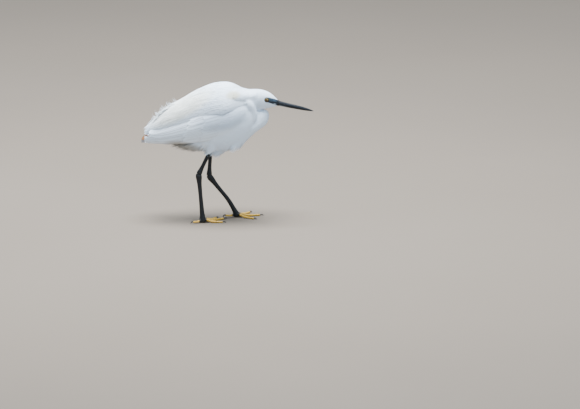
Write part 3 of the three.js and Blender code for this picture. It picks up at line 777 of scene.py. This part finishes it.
class Coat:
    """Feathers gathered for one piece. Each is a strip of rows and columns that narrows to its tip."""

    def __init__(self, seed):
        self.random = np.random.default_rng(seed)
        self.parts = []

    def add(self, rows, tips, shares):
        """Rows is (feather, row, column, xyz), tips (feather, xyz) and shares the rows' places along."""
        self.parts.append((rows, tips, shares))

    def build(self, name, finish, replaced=()):
        points, faces, sizes, maps, along, side, tone, edge = [], [], [], [], [], [], [], []
        base = 0
        for rows, tips, shares in self.parts:
            count, tall, wide = rows.shape[:3]
            per = tall * wide + 1
            block = np.concatenate([rows.reshape(count, -1, 3), tips[:, None]], axis=1)
            points.append(block.reshape(-1, 3))
            place = np.append(np.repeat(shares, wide), 1.0)
            across = np.append(np.tile(np.linspace(-1, 1, wide), tall), 0.0)
            along.append(np.tile(place, count))
            side.append(np.tile(across, count))
            tone.append(np.repeat(self.random.random(count), per))
            rim = np.zeros(per, int)
            rim[: tall * wide : wide] = 1
            rim[wide - 1 : tall * wide : wide] = 2
            rim[-1] = 3
            edge.append(np.tile(rim, count))
            root = unwrap(rows[:, 0, wide // 2])
            spot = root[:, None] + np.stack([across, place - 0.5], axis=-1) * (0.0012, 0.0024)
            maps.append(spot.reshape(-1, 2))
            grid = np.arange(tall * wide).reshape(tall, wide)
            quads = np.stack([grid[:-1, :-1], grid[:-1, 1:], grid[1:, 1:], grid[1:, :-1]], axis=-1)
            under = np.stack([grid[1:, 0], grid[1:, -1], grid[:-1, -1], grid[:-1, 0]], axis=-1)
            quads = np.concatenate([quads.reshape(-1, 4), under])
            peak = np.stack([grid[-1, :-1], grid[-1, 1:], np.full(wide - 1, per - 1)], axis=-1)
            below = np.array([[grid[-1, -1], grid[-1, 0], per - 1]])
            peak = np.concatenate([peak, below])
            shift = base + np.arange(count) * per
            faces.append((quads.ravel()[None] + shift[:, None]).ravel())
            sizes.append(np.full(count * len(quads), 4))
            faces.append((peak.ravel()[None] + shift[:, None]).ravel())
            sizes.append(np.full(count * len(peak), 3))
            faces.append((grid[0, ::-1][None] + shift[:, None]).ravel())
            sizes.append(np.full(count, wide))
            base += count * per
        piece = from_arrays(name, np.concatenate(points), np.concatenate(faces), np.concatenate(sizes))
        mesh = piece.data
        spots = np.concatenate(maps)[values_of(mesh.loops, "vertex_index", 1, np.int32)[:, 0]]
        mesh.uv_layers.new(name="OFBake").data.foreach_set("uv", spots.astype(np.float32).ravel())
        for label, values in (("along", along), ("side", side), ("tone", tone)):
            layer = mesh.attributes.new(label, "FLOAT", "POINT")
            layer.data.foreach_set("value", np.concatenate(values).astype(np.float32))
        rim = np.concatenate(edge)
        one, two = rim[values_of(mesh.edges, "vertices", 2, np.int32)].T
        sharp = ((one == two) & (one > 0)) | ((one + two > 3) & (one * two > 0)) | (one * two == 2)
        mesh.attributes.new("sharp_edge", "BOOLEAN", "EDGE").data.foreach_set("value", sharp)
        return dress(piece, finish, replaced)


ROUNDED = through((0, 0.45), (0.2, 0.85), (0.55, 1), (0.85, 0.82), (0.95, 0.5))
BLADE = through((0, 0.45), (0.15, 0.85), (0.5, 1), (0.86, 0.98), (0.93, 0.85), (0.97, 0.6), (0.99, 0.34))
LANCE = through((0, 0.5), (0.3, 0.95), (0.6, 0.9), (1, 0.12))
HAIR = through((0, 0.8), (0.4, 1), (1, 0.25))


def vanes(on, roots, tips, width, lift, outline, shares, wide=5, tilt=0.0, bend=0.0, crown=0.25):
    """Feathers on a surface on(x, across, lift), from roots to tips of (x, across), each width mm wide."""
    shares = np.asarray(shares, float)
    along = np.append(shares, 1.0)
    x = roots[:, 0, None] + (tips[:, 0] - roots[:, 0])[:, None] * along
    a = roots[:, 1, None] + (tips[:, 1] - roots[:, 1])[:, None] * along
    width = np.broadcast_to(width, len(roots))[:, None]
    lift = np.broadcast_to(lift, (len(roots), 2))
    tilt = np.broadcast_to(tilt, len(roots))[:, None, None]
    bend = np.broadcast_to(bend, len(roots))[:, None]
    step = 1e-3
    span = np.linalg.norm(on(x, a + step, 0.0) - on(x, a - step, 0.0), axis=-1) / (2 * step)
    a = a + bend * np.sin(np.pi * along) / span
    height = lift[:, :1] + (lift[:, 1] - lift[:, 0])[:, None] * along**0.8
    side = np.linspace(-1, 1, wide)
    half = width * outline(along) / 2
    across = a[..., None] + side * (half / span)[..., None]
    up = height[..., None] + tilt * side * outline(along)[:, None] + crown * (1 - side**2)
    back = x[..., None] + np.zeros(wide)
    rows = on(back[:, :-1], across[:, :-1], up[:, :-1])
    return rows, on(x[:, -1], a[:, -1], height[:, -1]), shares


def rows_of(count, start, end, random, jitter):
    """Count places evenly between two (x, across) ends, with a little disorder along x."""
    share = np.linspace(0, 1, count)[:, None]
    places = np.asarray(start, float) + np.subtract(end, start) * share
    places[:, 0] += jitter * random.uniform(-1, 1, count)
    return places


# How the small feathers lie: at x, y, z they point towards dx, dy (outwards), dz, and have this length, width
# and lift at the tip
LIE = np.array(
    [
        (112, 5, 289, -1, 0.1, 0.55, 4, 1.5, 0.0),
        (104, 10, 294, -1, 0.1, 0.5, 5, 1.6, 0.0),
        (98, 8, 301, -1, 0.1, 0.3, 6, 1.8, 0.0),
        (82, 6, 309, -1, 0, -0.02, 9, 2.0, 0.1),
        (62, 10, 309, -1, 0.05, -0.1, 13, 2.4, 0.2),
        (100, 12, 280, -1, 0.1, -0.35, 5, 1.6, 0.0),
        (90, 16, 276, -1, 0.1, -0.3, 7, 1.9, 0.1),
        (106, 6, 269, -1, 0.1, -0.1, 5, 1.6, 0.0),
        (95, 4, 264, -1, 0, -0.15, 8, 1.9, 0.1),
        (78, 8, 261, -1, 0, -0.4, 9, 2.0, 0.2),
        (70, 18, 276, -1, 0, -0.5, 11, 2.3, 0.1),
        (45, 24, 290, -1, 0, -0.35, 16, 2.8, 0.1),
        (92, 6, 252, -0.1, 0.1, -1, 10, 2.0, 0.2),
        (70, 20, 244, -0.5, 0, -1, 13, 2.4, 0.2),
        (86, 8, 225, -0.5, 0, -1, 15, 2.6, 0.3),
        (62, 20, 212, -0.8, 0, -1, 18, 2.9, 0.5),
        (45, 28, 195, -1, 0.05, -0.75, 22, 3.2, 0.9),
        (34, 10, 182, -1, 0, -0.7, 24, 3.2, 1.6),
        (20, 15, 174, -1, 0, -0.8, 26, 3.2, 3.2),
        (-10, 14, 165, -1, 0, -0.85, 24, 3.0, 3.6),
        (-12, 38, 190, -1, 0, -0.55, 22, 3.4, 1.2),
        (-34, 26, 176, -0.5, 0, -1, 13, 2.5, 0.7),
        (-42, 20, 165, -0.5, 0, -1, 8, 2.2, 0.5),
        (-62, 12, 176, -0.9, 0, -0.55, 30, 2.8, 3.5),
        (-88, 10, 188, -0.95, 0, -0.5, 38, 2.6, 4.0),
        (-108, 6, 198, -1, 0, -0.42, 42, 2.6, 4.0),
        (-124, 4, 206, -1, 0, -0.3, 24, 2.8, 1.5),
        (42, 34, 268, -1, 0, -0.55, 15, 4.0, 0.1),
        (20, 44, 280, -1, 0, -0.42, 18, 5.5, 0.1),
        (20, 46, 245, -1, 0, -0.38, 18, 5.5, 0.1),
        (-10, 46, 262, -1, 0, -0.38, 22, 6.5, 0.1),
        (-10, 44, 222, -1, 0, -0.26, 22, 6.0, 0.1),
        (30, 10, 318, -1, 0, -0.05, 20, 2.8, 0.1),
    ],
    float,
)


def lie_at(points):
    """Direction, length, width and tip lift for feathers at these points."""
    fold = points * (1, 0, 1) + np.abs(points) * (0, 1, 0)
    far = ((fold[:, None] - LIE[None, :, :3]) ** 2).sum(axis=-1) / (2 * 13.0**2)
    weight = np.exp(-(far - far.min(axis=1, keepdims=True)))
    weight /= weight.sum(axis=1, keepdims=True)
    mixed = weight @ LIE[:, 3:]
    mixed[:, 1] *= np.sign(points[:, 1])
    return mixed[:, :3], mixed[:, 3], mixed[:, 4], mixed[:, 5]


class Hide:
    """The skin as a surface to lay feathers on, in the bird's frame."""

    def __init__(self, body):
        mesh = body.data
        self.points = values_of(mesh.vertices, "co").astype(float) * 1000 - SHIFT
        self.normals = values_of(mesh.vertices, "normal").astype(float)
        mesh.calc_loop_triangles()
        self.tris = values_of(mesh.loop_triangles, "vertices", 3, np.int32)
        self.tree = BVHTree.FromPolygons(self.points.tolist(), self.tris.tolist())

    def settle(self, points):
        """The nearest places on the skin and the way out of it there."""
        spots = np.empty_like(points)
        index = np.empty(len(points), int)
        find = self.tree.find_nearest
        for i, point in enumerate(points):
            spot, _, index[i], _ = find(point)
            spots[i] = spot
        return spots, unit(self.normals[self.tris[index]].mean(axis=1))

    def sample(self, per_area, random):
        """Random places all over the skin, per_area to the square millimetre."""
        a, b, c = (self.points[self.tris[:, k]] for k in range(3))
        area = np.linalg.norm(np.cross(b - a, c - a), axis=1) / 2
        count = int(area.sum() * per_area)
        pick = random.choice(len(area), count, p=area / area.sum())
        r = np.sqrt(random.random((count, 1)))
        s = random.random((count, 1))
        spots = a[pick] * (1 - r) + b[pick] * (r * (1 - s)) + c[pick] * (r * s)
        return spots, unit(self.normals[self.tris[pick]].mean(axis=1))


def thinned(points, space):
    """The index of one point in each cell of that size."""
    cells = np.floor(points / space).astype(np.int64)
    _, first = np.unique(cells, axis=0, return_index=True)
    return np.sort(first)


def laid(coat, hide, roots, normals, shares, outline):
    """Small feathers that follow the skin from their roots along the lie of the coat."""
    random = coat.random
    count = len(roots)
    _, length, width, rise = lie_at(roots)
    length = length * random.uniform(0.8, 1.2, count)
    width = width * random.uniform(0.85, 1.15, count)
    rise = rise * random.uniform(0.3, 1.5, count)
    swing = random.normal(0, 0.10, count)[:, None]
    spot, up = roots, normals
    rows = []
    last = 0.0
    depth = random.uniform(0.0, 0.3, count)
    held = 1 - np.clip(rise / 7, 0, 0.8)[:, None]
    for share in (*shares, 1.0):
        flow = lie_at(spot)[0]
        flow = unit(flow - held * (flow * up).sum(axis=-1, keepdims=True) * up)
        flow = unit(flow + swing * np.cross(up, flow))
        if share > 0:
            step = (length * (share - last))[:, None]
            free = spot + flow * step
            found, out = hide.settle(free)
            loose = np.linalg.norm(free - found, axis=-1, keepdims=True) > 0.3 * step + 0.2
            spot, up = np.where(loose, free, found), np.where(loose, up, out)
        last = share
        side = unit(np.cross(flow, up))
        height = depth + 0.1 + (0.2 + 0.018 * length) * share + rise * share**2
        centre = spot + up * height[:, None]
        half = (width * outline(share) / 2)[:, None]
        edge = up * (0.22 * half + 0.05)
        rows.append(np.stack([centre - side * half - edge, centre, centre + side * half - edge], axis=1))
    coat.add(np.stack(rows[:-1], axis=1), rows[-1][:, 1], np.asarray(shares, float))


def on_wing(points):
    """True where the skin is a wing's, under its coverts."""
    x, y, z = points.T
    up = (z - flank_level(x)) / flank_height(x)
    out = np.abs(y) / flank_width(x)
    across = np.degrees(np.arctan2(up, out))
    near = np.hypot(up, out)
    rear = np.interp(x, [-40, -10], [-8, 3])
    flank = (x < 46) & (near > 0.86) & (near < 1.06)
    return flank & (across > wing_lower(x) + rear) & (across < wing_upper(x) + 6)


def on_back(points):
    """True where the skin lies under the long plumes."""
    x, y, z = points.T
    up = (z - flank_level(x)) / (mantle_top(x) - flank_level(x))
    out = np.abs(y) / mantle_width(x)
    angle = np.degrees(np.arctan2(out, up))
    return (x < 26) & (np.hypot(up, out) > 0.8) & (angle < mantle_edge(x) + 2)


def on_face(points):
    """True on the bare skin of lore and lids and at the bill's root."""
    x, y, z = points.T
    lore = (x > 94) & (z > face_bottom(x) - 0.8) & (z < face_top(x) + 0.8) & (np.abs(y) > 3)
    eye = np.hypot(x - EYE[0], z - EYE[2]) < 6.6
    return (lore | eye & (np.abs(y) > 9)) | ((x > 115) & (z < 284))


def small_feathers(hide, finish):
    """Head, neck, breast, belly and thighs."""
    random = np.random.default_rng(7)
    spots, normals = hide.sample(1.6, random)
    x, y, z = spots.T
    wings = on_wing(spots)
    under_wing = flank_level(x) + flank_height(x) * np.sin(np.radians(wing_lower(x) - 5))
    hidden = (x < -25) & (z > under_wing) & (np.abs(y) > 11)
    plain = ~(wings | on_back(spots) | on_face(spots) | hidden) & (x > -128)
    head = plain & (x > 72) & (z > 258)
    neck = plain & ~head & (z > 200) & (x > 34)
    zones = {  # where, space between roots, places of the rows, outline, seed
        "coat_head": (head, 0.9, (0, 0.4), LANCE, 11),
        "coat_neck": (neck, 1.5, (0, 0.32, 0.68), LANCE, 12),
        "coat_body": (plain & ~head & ~neck, 2.1, (0, 0.32, 0.68), LANCE, 13),
        "coat_coverts": (wings & (x > -16), 2.6, (0, 0.2, 0.5, 0.8, 0.94), ROUNDED, 14),
    }
    for name, (zone, space, shares, outline, seed) in zones.items():
        coat = Coat(seed)
        pick = np.flatnonzero(zone)
        pick = pick[thinned(spots[pick], space)]
        laid(coat, hide, spots[pick], normals[pick], shares, outline)
        coat.build(name, finish)


FLAT_ROWS = (0, 0.15, 0.35, 0.6, 0.82, 0.9, 0.95, 0.985)
WING_END = -188.5
PLUME_END = -192


def wing(side, finish):
    """Coverts and flight feathers of one wing: the upper ones lie on the lower ones."""
    coat = Coat(31)
    random = coat.random
    mirror = (1, 1, 1) if side < 0 else (1, -1, 1)
    tiers = [
        # count, first root, last root, first tip, last tip, width, lift at root and tip, tilt
        (10, (-60, -4), (-72, -42), (-184, 6), (-189, -54), 10, (-1.6, 0.0), -0.5),
        (17, (-36, 36), (-66, -38), (-186, 36), (-152, -46), 13, (-1.3, 0.7), -0.6),
        (19, (-10, 40), (-26, -38), (-84, 34), (-104, -42), 10, (-1.0, 1.5), -0.35),
        (22, (-6, 41), (-14, -37), (-50, 36), (-60, -40), 8, (-0.7, 1.2), -0.25),
    ]
    for count, start, end, first, last, width, lift, tilt in tiers:
        roots = rows_of(count, start, end, random, 2.0)
        tips = rows_of(count, first, last, random, 4.0)
        tips[:, 0] = np.maximum(tips[:, 0], WING_END + 0.004 * (tips[:, 1] + 24) ** 2)
        rise = np.array(lift) + random.uniform(-0.2, 0.2, (count, 1))
        rows, ends, shares = vanes(
            on_flank, roots, tips, width, rise, BLADE, FLAT_ROWS, tilt=tilt, bend=random.uniform(-1, 1, count)
        )
        if side > 0:
            rows = rows[:, :, ::-1]
        coat.add(rows * mirror, ends * mirror, shares)
    name = "right" if side < 0 else "left"
    coat.build(f"coat_wing_{name}", finish)


def mantle(finish):
    """Long narrow plumes down the back, in many rows, each over the next."""
    coat = Coat(41)
    random = coat.random
    count = 3600
    x = np.sort(random.uniform(-118, 50, count))
    across = random.uniform(-1, 1, count) * np.interp(x, [-118, -90, -60, 50], [0.98, 0.93, 0.88, 0.85])
    reach = np.interp(x, [-118, -60, 0, 50], [70, 105, 70, 30]) * random.uniform(0.75, 1.1, count)
    tip = np.maximum(x - reach, PLUME_END + random.uniform(0, 7, count))
    roots = np.stack([x, across], axis=-1)
    spread = across * (1 + random.uniform(-0.03, 0.08, count)) + random.normal(0, 0.02, count)
    tips = np.stack([tip, np.clip(spread, -1.02, 1.02)], axis=-1)
    layer = np.interp(x, [-118, 20, 50], [-4.6, -2.4, -4.6])
    lift = np.stack([layer - 0.6, layer + random.uniform(0.4, 1.1, count)], axis=-1)
    width = random.uniform(2.0, 3.4, count)
    shares = (0, 0.14, 0.28, 0.42, 0.56, 0.7, 0.85)
    coat.add(*vanes(on_mantle, roots, tips, width, lift, HAIR, shares, wide=3, crown=0.3))
    coat.build("coat_mantle", finish)


def scapulars(finish):
    """Shorter, broader feathers along each shoulder, between the plumes and the wing."""
    coat = Coat(43)
    random = coat.random
    for side in (-1, 1):
        count = 420
        x = random.uniform(-88, 48, count)
        across = side * random.uniform(np.interp(x, [-88, -60, 48], [0.88, 0.78, 0.74]), 1.0)
        reach = np.interp(x, [-88, -20, 48], [34, 32, 18]) * random.uniform(0.85, 1.15, count)
        tips = np.stack([x - reach, across * random.uniform(0.98, 1.04, count)], axis=-1)
        layer = np.interp(x, [-88, 20, 48], [-3.6, -2.6, -4.4])
        lift = np.stack([layer - 0.8, layer + random.uniform(0.3, 0.9, count)], axis=-1)
        width = random.uniform(5, 7.5, count)
        roots = np.stack([x, across], axis=-1)
        coat.add(*vanes(on_mantle, roots, tips, width, lift, ROUNDED, (0, 0.2, 0.5, 0.8, 0.94), wide=3))
    coat.build("coat_shoulders", finish)


def wisps(finish):
    """Loose plume tips that curl up off the lower back."""
    coat = Coat(51)
    random = coat.random
    locks, each = 26, 7
    count = locks * each
    rear = random.uniform(-166, -136, locks // 2)
    front = random.uniform(-140, -108, locks - locks // 2)
    x = np.repeat(np.concatenate([rear, front]), each) + random.uniform(-5, 5, count)
    across = np.repeat(random.uniform(-0.28, 0.22, locks), each) + random.uniform(-0.05, 0.05, count)
    root = on_mantle(x, across, -4.0)
    middle = np.repeat(root.reshape(locks, each, 3).mean(axis=1), each, axis=0)
    slope = (mantle_top(x - 20) - mantle_top(x)) / 20
    length = np.repeat(random.uniform(20, 30, locks), each) * random.uniform(0.85, 1.1, count)
    rise = np.repeat(random.uniform(12, 30, locks), each) * random.uniform(0.85, 1.1, count)
    drift = np.repeat(random.uniform(-5, 5, locks), each)
    shares = np.array([0, 0.2, 0.4, 0.6, 0.8, 0.92])
    rows = []
    for share in (*shares, 1.0):
        bow = share**2.2
        close = (root - middle) * (1 - 0.75 * share)
        back = -length * share * (1 - 0.4 * bow)
        up = slope * length * share + rise * bow
        centre = middle + close + np.stack([back, drift * share, up], axis=-1)
        half = 0.75 * (1 - share) ** 0.6 + 0.14
        side = np.array([0, half, -half * 0.3])
        rows.append(np.stack([centre + side, centre + (0, 0, half * 0.5), centre - side], axis=1))
    coat.add(np.stack(rows[:-1], axis=1), rows[-1][:, 1], shares)
    coat.build("wisps", finish)


def tail(finish):
    """Twelve tail feathers in a shallow roof, the middle ones on top."""
    coat = Coat(61)
    random = coat.random
    out = np.repeat(np.linspace(0, 1, 6), 2)
    side = np.tile([-1.0, 1.0], 6)
    roots = np.stack([np.full(12, -114.0), side * 0.5 * out], axis=-1)
    back = TAIL_END + 0.8 + 7 * (1 - out) ** 2 + random.uniform(0, 1, 12)
    tips = np.stack([back, side * (0.15 + 0.7 * out)], axis=-1)
    lift = np.stack([-4 - out * 1.5, side * 0.25 - 3.0 - out * 3], axis=-1)
    coat.add(*vanes(on_tail, roots, tips, 9, lift, ROUNDED, FLAT_ROWS, tilt=-side * 0.5))
    coat.build("coat_tail", finish, ["tail"])


def tail_coverts(finish):
    """Soft feathers that fill the open end of the roof of plumes over the tail."""
    coat = Coat(62)
    random = coat.random
    count = 260
    across = random.uniform(-1.1, 1.1, count)
    height = random.uniform(0, 1, count)
    room = height * (1 - 0.8 * (across / 1.1) ** 2)
    tip = -189 + 8 * (2 * height - 1) ** 2 + random.uniform(0, 3, count)
    roots = np.stack([tip + 38, across * 0.8], axis=-1)
    tips = np.stack([tip, across], axis=-1)
    lift = np.stack([2 + 28 * room, 0.5 + 14 * room], axis=-1)
    coat.add(*vanes(on_tail, roots, tips, 6.5, lift, ROUNDED, (0, 0.3, 0.6, 0.8, 0.92), wide=3))
    coat.build("coat_rump", finish)


# Bare parts, grown ring by ring


def swept(name, stations, sides):
    """A limb in an upright plane along X. Each station is (x, y, z, lean, fore, across), and lean is how
    far its ring is tipped forwards from level, in degrees."""
    deselect()
    x, y, z, lean, fore, across = stations[0]
    start = tuple(placed((x, y, z)))
    tip = (0, math.radians(lean), 0)
    bpy.ops.mesh.primitive_circle_add(
        vertices=sides, radius=fore * 0.001, fill_type="NGON", location=start, rotation=tip
    )
    piece = bpy.context.object
    piece.name = piece.data.name = name
    apply_place()
    edit(piece)
    bpy.ops.transform.resize(value=(1, across / fore, 1), center_override=start)
    for station in stations[1:]:
        x1, y1, z1, lean1, fore1, across1 = station
        move = tuple(placed((x1, y1, z1)) - placed((x, y, z)))
        centre = tuple(placed((x1, y1, z1)))
        bpy.ops.mesh.extrude_region_move(TRANSFORM_OT_translate={"value": move})
        if abs(lean1 - lean) > 0.01:
            turn = math.radians(lean - lean1)
            bpy.ops.transform.rotate(value=turn, orient_axis="Y", center_override=centre)
        size = fore1 / fore
        wide = (across1 / fore1) / (across / fore)
        bpy.ops.transform.resize(value=(size, size * wide, size), center_override=centre)
        x, y, z, lean, fore, across = station
    bpy.ops.mesh.select_all(action="SELECT")
    bpy.ops.mesh.normals_make_consistent(inside=False)
    done()
    apply_modifier(piece, "SUBSURF", levels=1, render_levels=1)
    bpy.ops.object.shade_smooth()
    return piece


def along_path(path, fore, across, count):
    """Stations evenly along a smooth path of knots, with radii as functions of the share of the way."""
    path = np.asarray(path, float)
    share = np.linspace(0, 1, len(path))
    line = [through(*zip(share, path[:, k])) for k in range(3)]
    stations = []
    for t in np.linspace(0, 1, count):
        x, y, z = (float(axis(t)) for axis in line)
        ahead, behind = min(t + 0.01, 1), max(t - 0.01, 0)
        dx = float(line[0](ahead) - line[0](behind))
        dz = float(line[2](ahead) - line[2](behind))
        stations.append((x, y, z, math.degrees(math.atan2(dx, dz)), float(fore(t)), float(across(t))))
    return stations


def cut(piece, cutter):
    """Takes the cutter's shape out of a piece."""
    apply_modifier(piece, "BOOLEAN", operation="DIFFERENCE", object=cutter, solver="EXACT")
    bpy.data.objects.remove(cutter)


def in_bill(along, y, z):
    """A place in the bill: along it from its root, to its left, and up from the line of the mouth."""
    c, s = math.cos(BILL_DROOP), math.sin(BILL_DROOP)
    return BILL_ROOT + np.array([along * c + z * s, y, z * c - along * s])


def mandible(name, depth, upper, finish, replaced):
    """One half of the bill: an oval taper, split on the line of the mouth."""
    shares = [0, 0.05, 0.12, 0.2, 0.3, 0.4, 0.5, 0.6, 0.7, 0.8, 0.88, 0.94, 0.98, 1]
    lean = 90 + math.degrees(BILL_DROOP)
    stations = [
        (*in_bill(BILL_LENGTH * t, 0, 0), lean, float(depth(t)), float(bill_half(t))) for t in shares
    ]
    piece = swept(name, stations, 20)
    side = 1 if upper else -1
    edit(piece)
    normal = (math.sin(BILL_DROOP) * side, 0, math.cos(BILL_DROOP) * side)
    middle = tuple(placed(in_bill(0, 0, 0.15 * side)))
    bpy.ops.mesh.bisect(plane_co=middle, plane_no=normal, use_fill=True, clear_inner=True)
    done()
    if upper:
        for y in (-1, 1):
            bpy.ops.mesh.primitive_uv_sphere_add(
                segments=16, ring_count=10, radius=0.001, location=tuple(placed(in_bill(20, y * 5.0, 2.4)))
            )
            slit = bpy.context.object
            slit.scale = (4.6, 1.3, 0.75)
            slit.rotation_euler = (0, BILL_DROOP + 0.04, y * 0.06)
            activate(slit)
            apply_place()
            cut(piece, slit)
    activate(piece)
    bpy.ops.object.shade_smooth_by_angle(angle=math.radians(50))
    return dress(piece, finish, [replaced])


def face(finish):
    """The bare skin from bill to eye on both sides, in one piece with the lids."""
    x = (91 + 31 * (1 - np.cos(np.linspace(0.08, np.pi - 0.08, 30))) / 2)[:, None]
    z = face_bottom(x) + (face_top(x) - face_bottom(x)) * np.linspace(0, 1, 20)
    middle, tall = (crest_top(x) + crest_bottom(x)) / 2, (crest_top(x) - crest_bottom(x)) / 2
    over = np.interp(x, [91, 98, 106, 122], [-0.8, -0.5, 0.1, 0.5])
    y = crest_half(x) * (1 - np.clip(np.abs(z - middle) / tall, 0, 0.96) ** 2.2) ** (1 / 2.2) + over
    rings = np.concatenate([stacked(x, -y, z), stacked(x, y, z)[:, ::-1]], axis=1)
    lore = from_arrays("bare_face", *closed_rings(rings))
    parts = [lore]
    for side in (-1, 1):
        deselect()
        bpy.ops.mesh.primitive_torus_add(
            location=tuple(placed((EYE[0], side * (EYE[1] + 3.3), EYE[2]))),
            rotation=(math.radians(90), 0, side * math.radians(-6)),
            major_radius=0.0047,
            minor_radius=0.0012,
            major_segments=40,
            minor_segments=14,
        )
        apply_place()
        parts.append(bpy.context.object)
    joined(parts)
    apply_modifier(lore, "REMESH", mode="VOXEL", voxel_size=FACE_GRAIN, use_smooth_shade=True)
    apply_modifier(lore, "SMOOTH", factor=0.5, iterations=6)
    return dress(lore, finish, ["face"])


def eyes(finish):
    """Round eyes with a slightly raised clear front, deep in their lids."""
    for side, name in ((-1, "right"), (1, "left")):
        deselect()
        bpy.ops.mesh.primitive_uv_sphere_add(
            segments=40,
            ring_count=24,
            radius=EYE_RADIUS * 0.001,
            location=tuple(placed(EYE * (1, side, 1))),
            rotation=(math.radians(90), 0, 0),
        )
        piece = bpy.context.object
        piece.name = f"eyeball_{name}"
        apply_place()
        bpy.ops.object.mode_set(mode="EDIT")
        bpy.ops.mesh.select_all(action="DESELECT")
        done()
        front = placed((0, side * (EYE[1] + 4.0), 0))[1]
        for vertex in piece.data.vertices:
            vertex.select = (vertex.co.y - front) * side > 0
        bpy.ops.object.mode_set(mode="EDIT")
        bpy.ops.transform.translate(value=(0, side * 0.0003, 0))
        done()
        bpy.ops.object.shade_smooth()
        dress(piece, finish, [f"eye_{name}"])


def leg(name, facts, skin_finish, toe_finish, claw_finish):
    """Shin, lower leg with its knobbly ankle, and four toes with their claws."""
    knee, end, ankle, heel = (np.array(facts[key], float) for key in ("knee", "thigh_end", "ankle", "heel"))
    start = end + (knee - end) * 0.4
    reach = through((0, 4.8), (0.6, 4.4), (0.8, 5.3), (0.92, 6.6), (1, 6.8))
    stations = along_path([start, ankle], reach, lambda t: reach(t) * 0.85, 12)
    dress(swept(f"shin_{name}", stations, 16), skin_finish, [f"shank_{name}"])
    path = np.array([*facts["bow"], heel], float)
    top = ankle - unit(path[0] - ankle) * 4
    fore = through(
        (0, 4.8), (0.03, 6.9), (0.07, 7.7), (0.12, 7.0), (0.2, 5.7), (0.3, 5.1), (0.5, 4.7), (0.72, 5.1),
        (0.88, 5.6), (0.95, 6.3), (1, 7.4)
    )  # fmt: skip
    across = through(
        (0, 3.6), (0.04, 5.4), (0.08, 5.9), (0.16, 4.8), (0.3, 3.9), (0.5, 3.7), (0.85, 4.3), (1, 5.8)
    )
    stations = along_path([top, *path], fore, across, 22)
    stations.append((*(heel - (0, 0, 4)), 180, 8.0, 6.0))
    stations.append((*(heel - (0, 0, 7.7)), 180, 7.8, 5.8))
    dress(swept(f"lower_leg_{name}", stations, 16), skin_finish, [f"tarsus_{name}"])
    for which, toe in TOES.items():
        length, thick = toe["length"], toe["thick"]
        x, y, _ = heel
        end = toe["end"] + 0.3
        line = ((1, 8.5), (length * 0.22, 6.4), (length * 0.5, (3.4 + end) / 2), (length, end))
        path = [(x + reach, y, up) for reach, up in line]
        joints = 2 if which == "hind" else 3

        def pads(t):
            return thick * (1.06 - 0.2 * t + 0.15 * math.cos(t * joints * 2 * math.pi)) * (1 - 0.35 * t**14)

        digit = swept(f"digit_{which}_{name}", along_path(path, pads, lambda t: pads(t) * 1.05, 20), 12)
        reach = toe["claw"]
        nail = [
            (x + length - 2.5, y, end + 0.3),
            (x + length + reach * 0.35, y, end + 1.2),
            (x + length + reach * 0.75, y, end * 0.5 + 0.9),
            (x + length + reach, y, 0.8),
        ]
        taper = through((0, 1.9), (0.4, 1.5), (0.8, 0.8), (1, 0.28))
        stations = along_path(nail, taper, lambda t: taper(t) * 0.8, 9)
        claw = swept(f"nail_{which}_{name}", stations, 10)
        heading = math.radians(facts["turn"] - facts["side"] * facts["spread"][which])
        for piece in (digit, claw):
            edit(piece)
            bpy.ops.transform.rotate(
                value=-heading, orient_axis="Z", center_override=tuple(placed((x, y, 0)))
            )
            done()
            on_floor(piece)
        co = values_of(digit.data.vertices, "co")
        out = np.linalg.norm((co - placed((x, y, 0)))[:, :2], axis=1) * 1000 / 60
        digit.data.attributes.new("along", "FLOAT", "POINT").data.foreach_set("value", out.astype(np.float32))
        dress(digit, toe_finish, [f"toe_{which}_{name}"])
        dress(claw, claw_finish, [f"claw_{which}_{name}"])


FLOOR_CLEAR = 0.0001  # metres


def on_floor(piece):
    """Flattens what would reach below the floor."""
    mesh = piece.data
    co = values_of(mesh.vertices, "co")
    co[:, 2] = np.maximum(co[:, 2], FLOOR_CLEAR)
    mesh.vertices.foreach_set("co", co.ravel())
    mesh.update()


def studio():
    """A plain floor, a large soft lamp above, a weak one in front, and a pale sky."""
    deselect()
    bpy.ops.mesh.primitive_plane_add(size=60, location=(0, 0, 0))
    floor = bpy.context.object
    floor.name = "floor"
    floor.data.materials.append(floor_finish())
    lamp("top softbox", (-0.2, -0.1, 3.0), 1.6, 470, (0.90, 0.955, 1.0))
    lamp("front fill", (1.8, -2.8, 1.4), 2.4, 44, (0.66, 0.84, 1.0))
    world = bpy.data.worlds.new("studio")
    world.use_nodes = True
    sky = world.node_tree.nodes["Background"]
    sky.inputs[0].default_value = (0.68, 0.85, 1.0, 1)
    sky.inputs[1].default_value = 0.95
    bpy.context.scene.world = world


camera()
studio()
body = skin()
hide = Hide(body)
white = plumage("white feather")
cream = plumage("cream plume", warm=0.15, barbs=60.0)
flight = plumage("flight feather", relief=0.035, barbs=120.0, slant=5.0, edge=0.55)
feathered = ["torso", "wing_right", "wing_left", "mantle", "neck_upper", "neck_lower", "head"]
dress(body, white, [*feathered, "thigh_right", "thigh_left"])
small_feathers(hide, white)
wing(-1, flight)
wing(1, flight)
mantle(cream)
scapulars(white)
wisps(cream)
tail(flight)
tail_coverts(white)
face(bare_skin())
eyes(eyeball())
horn = bill_horn()
mandible("bill_top", bill_rise, True, horn, "bill_upper")
mandible("bill_bottom", bill_fall, False, horn, "bill_lower")
leg_finish, toe_finish, claw_finish = leg_skin(), toe_skin(), claw_horn()
for name, facts in LEGS.items():
    leg(name, facts, leg_finish, toe_finish, claw_finish)
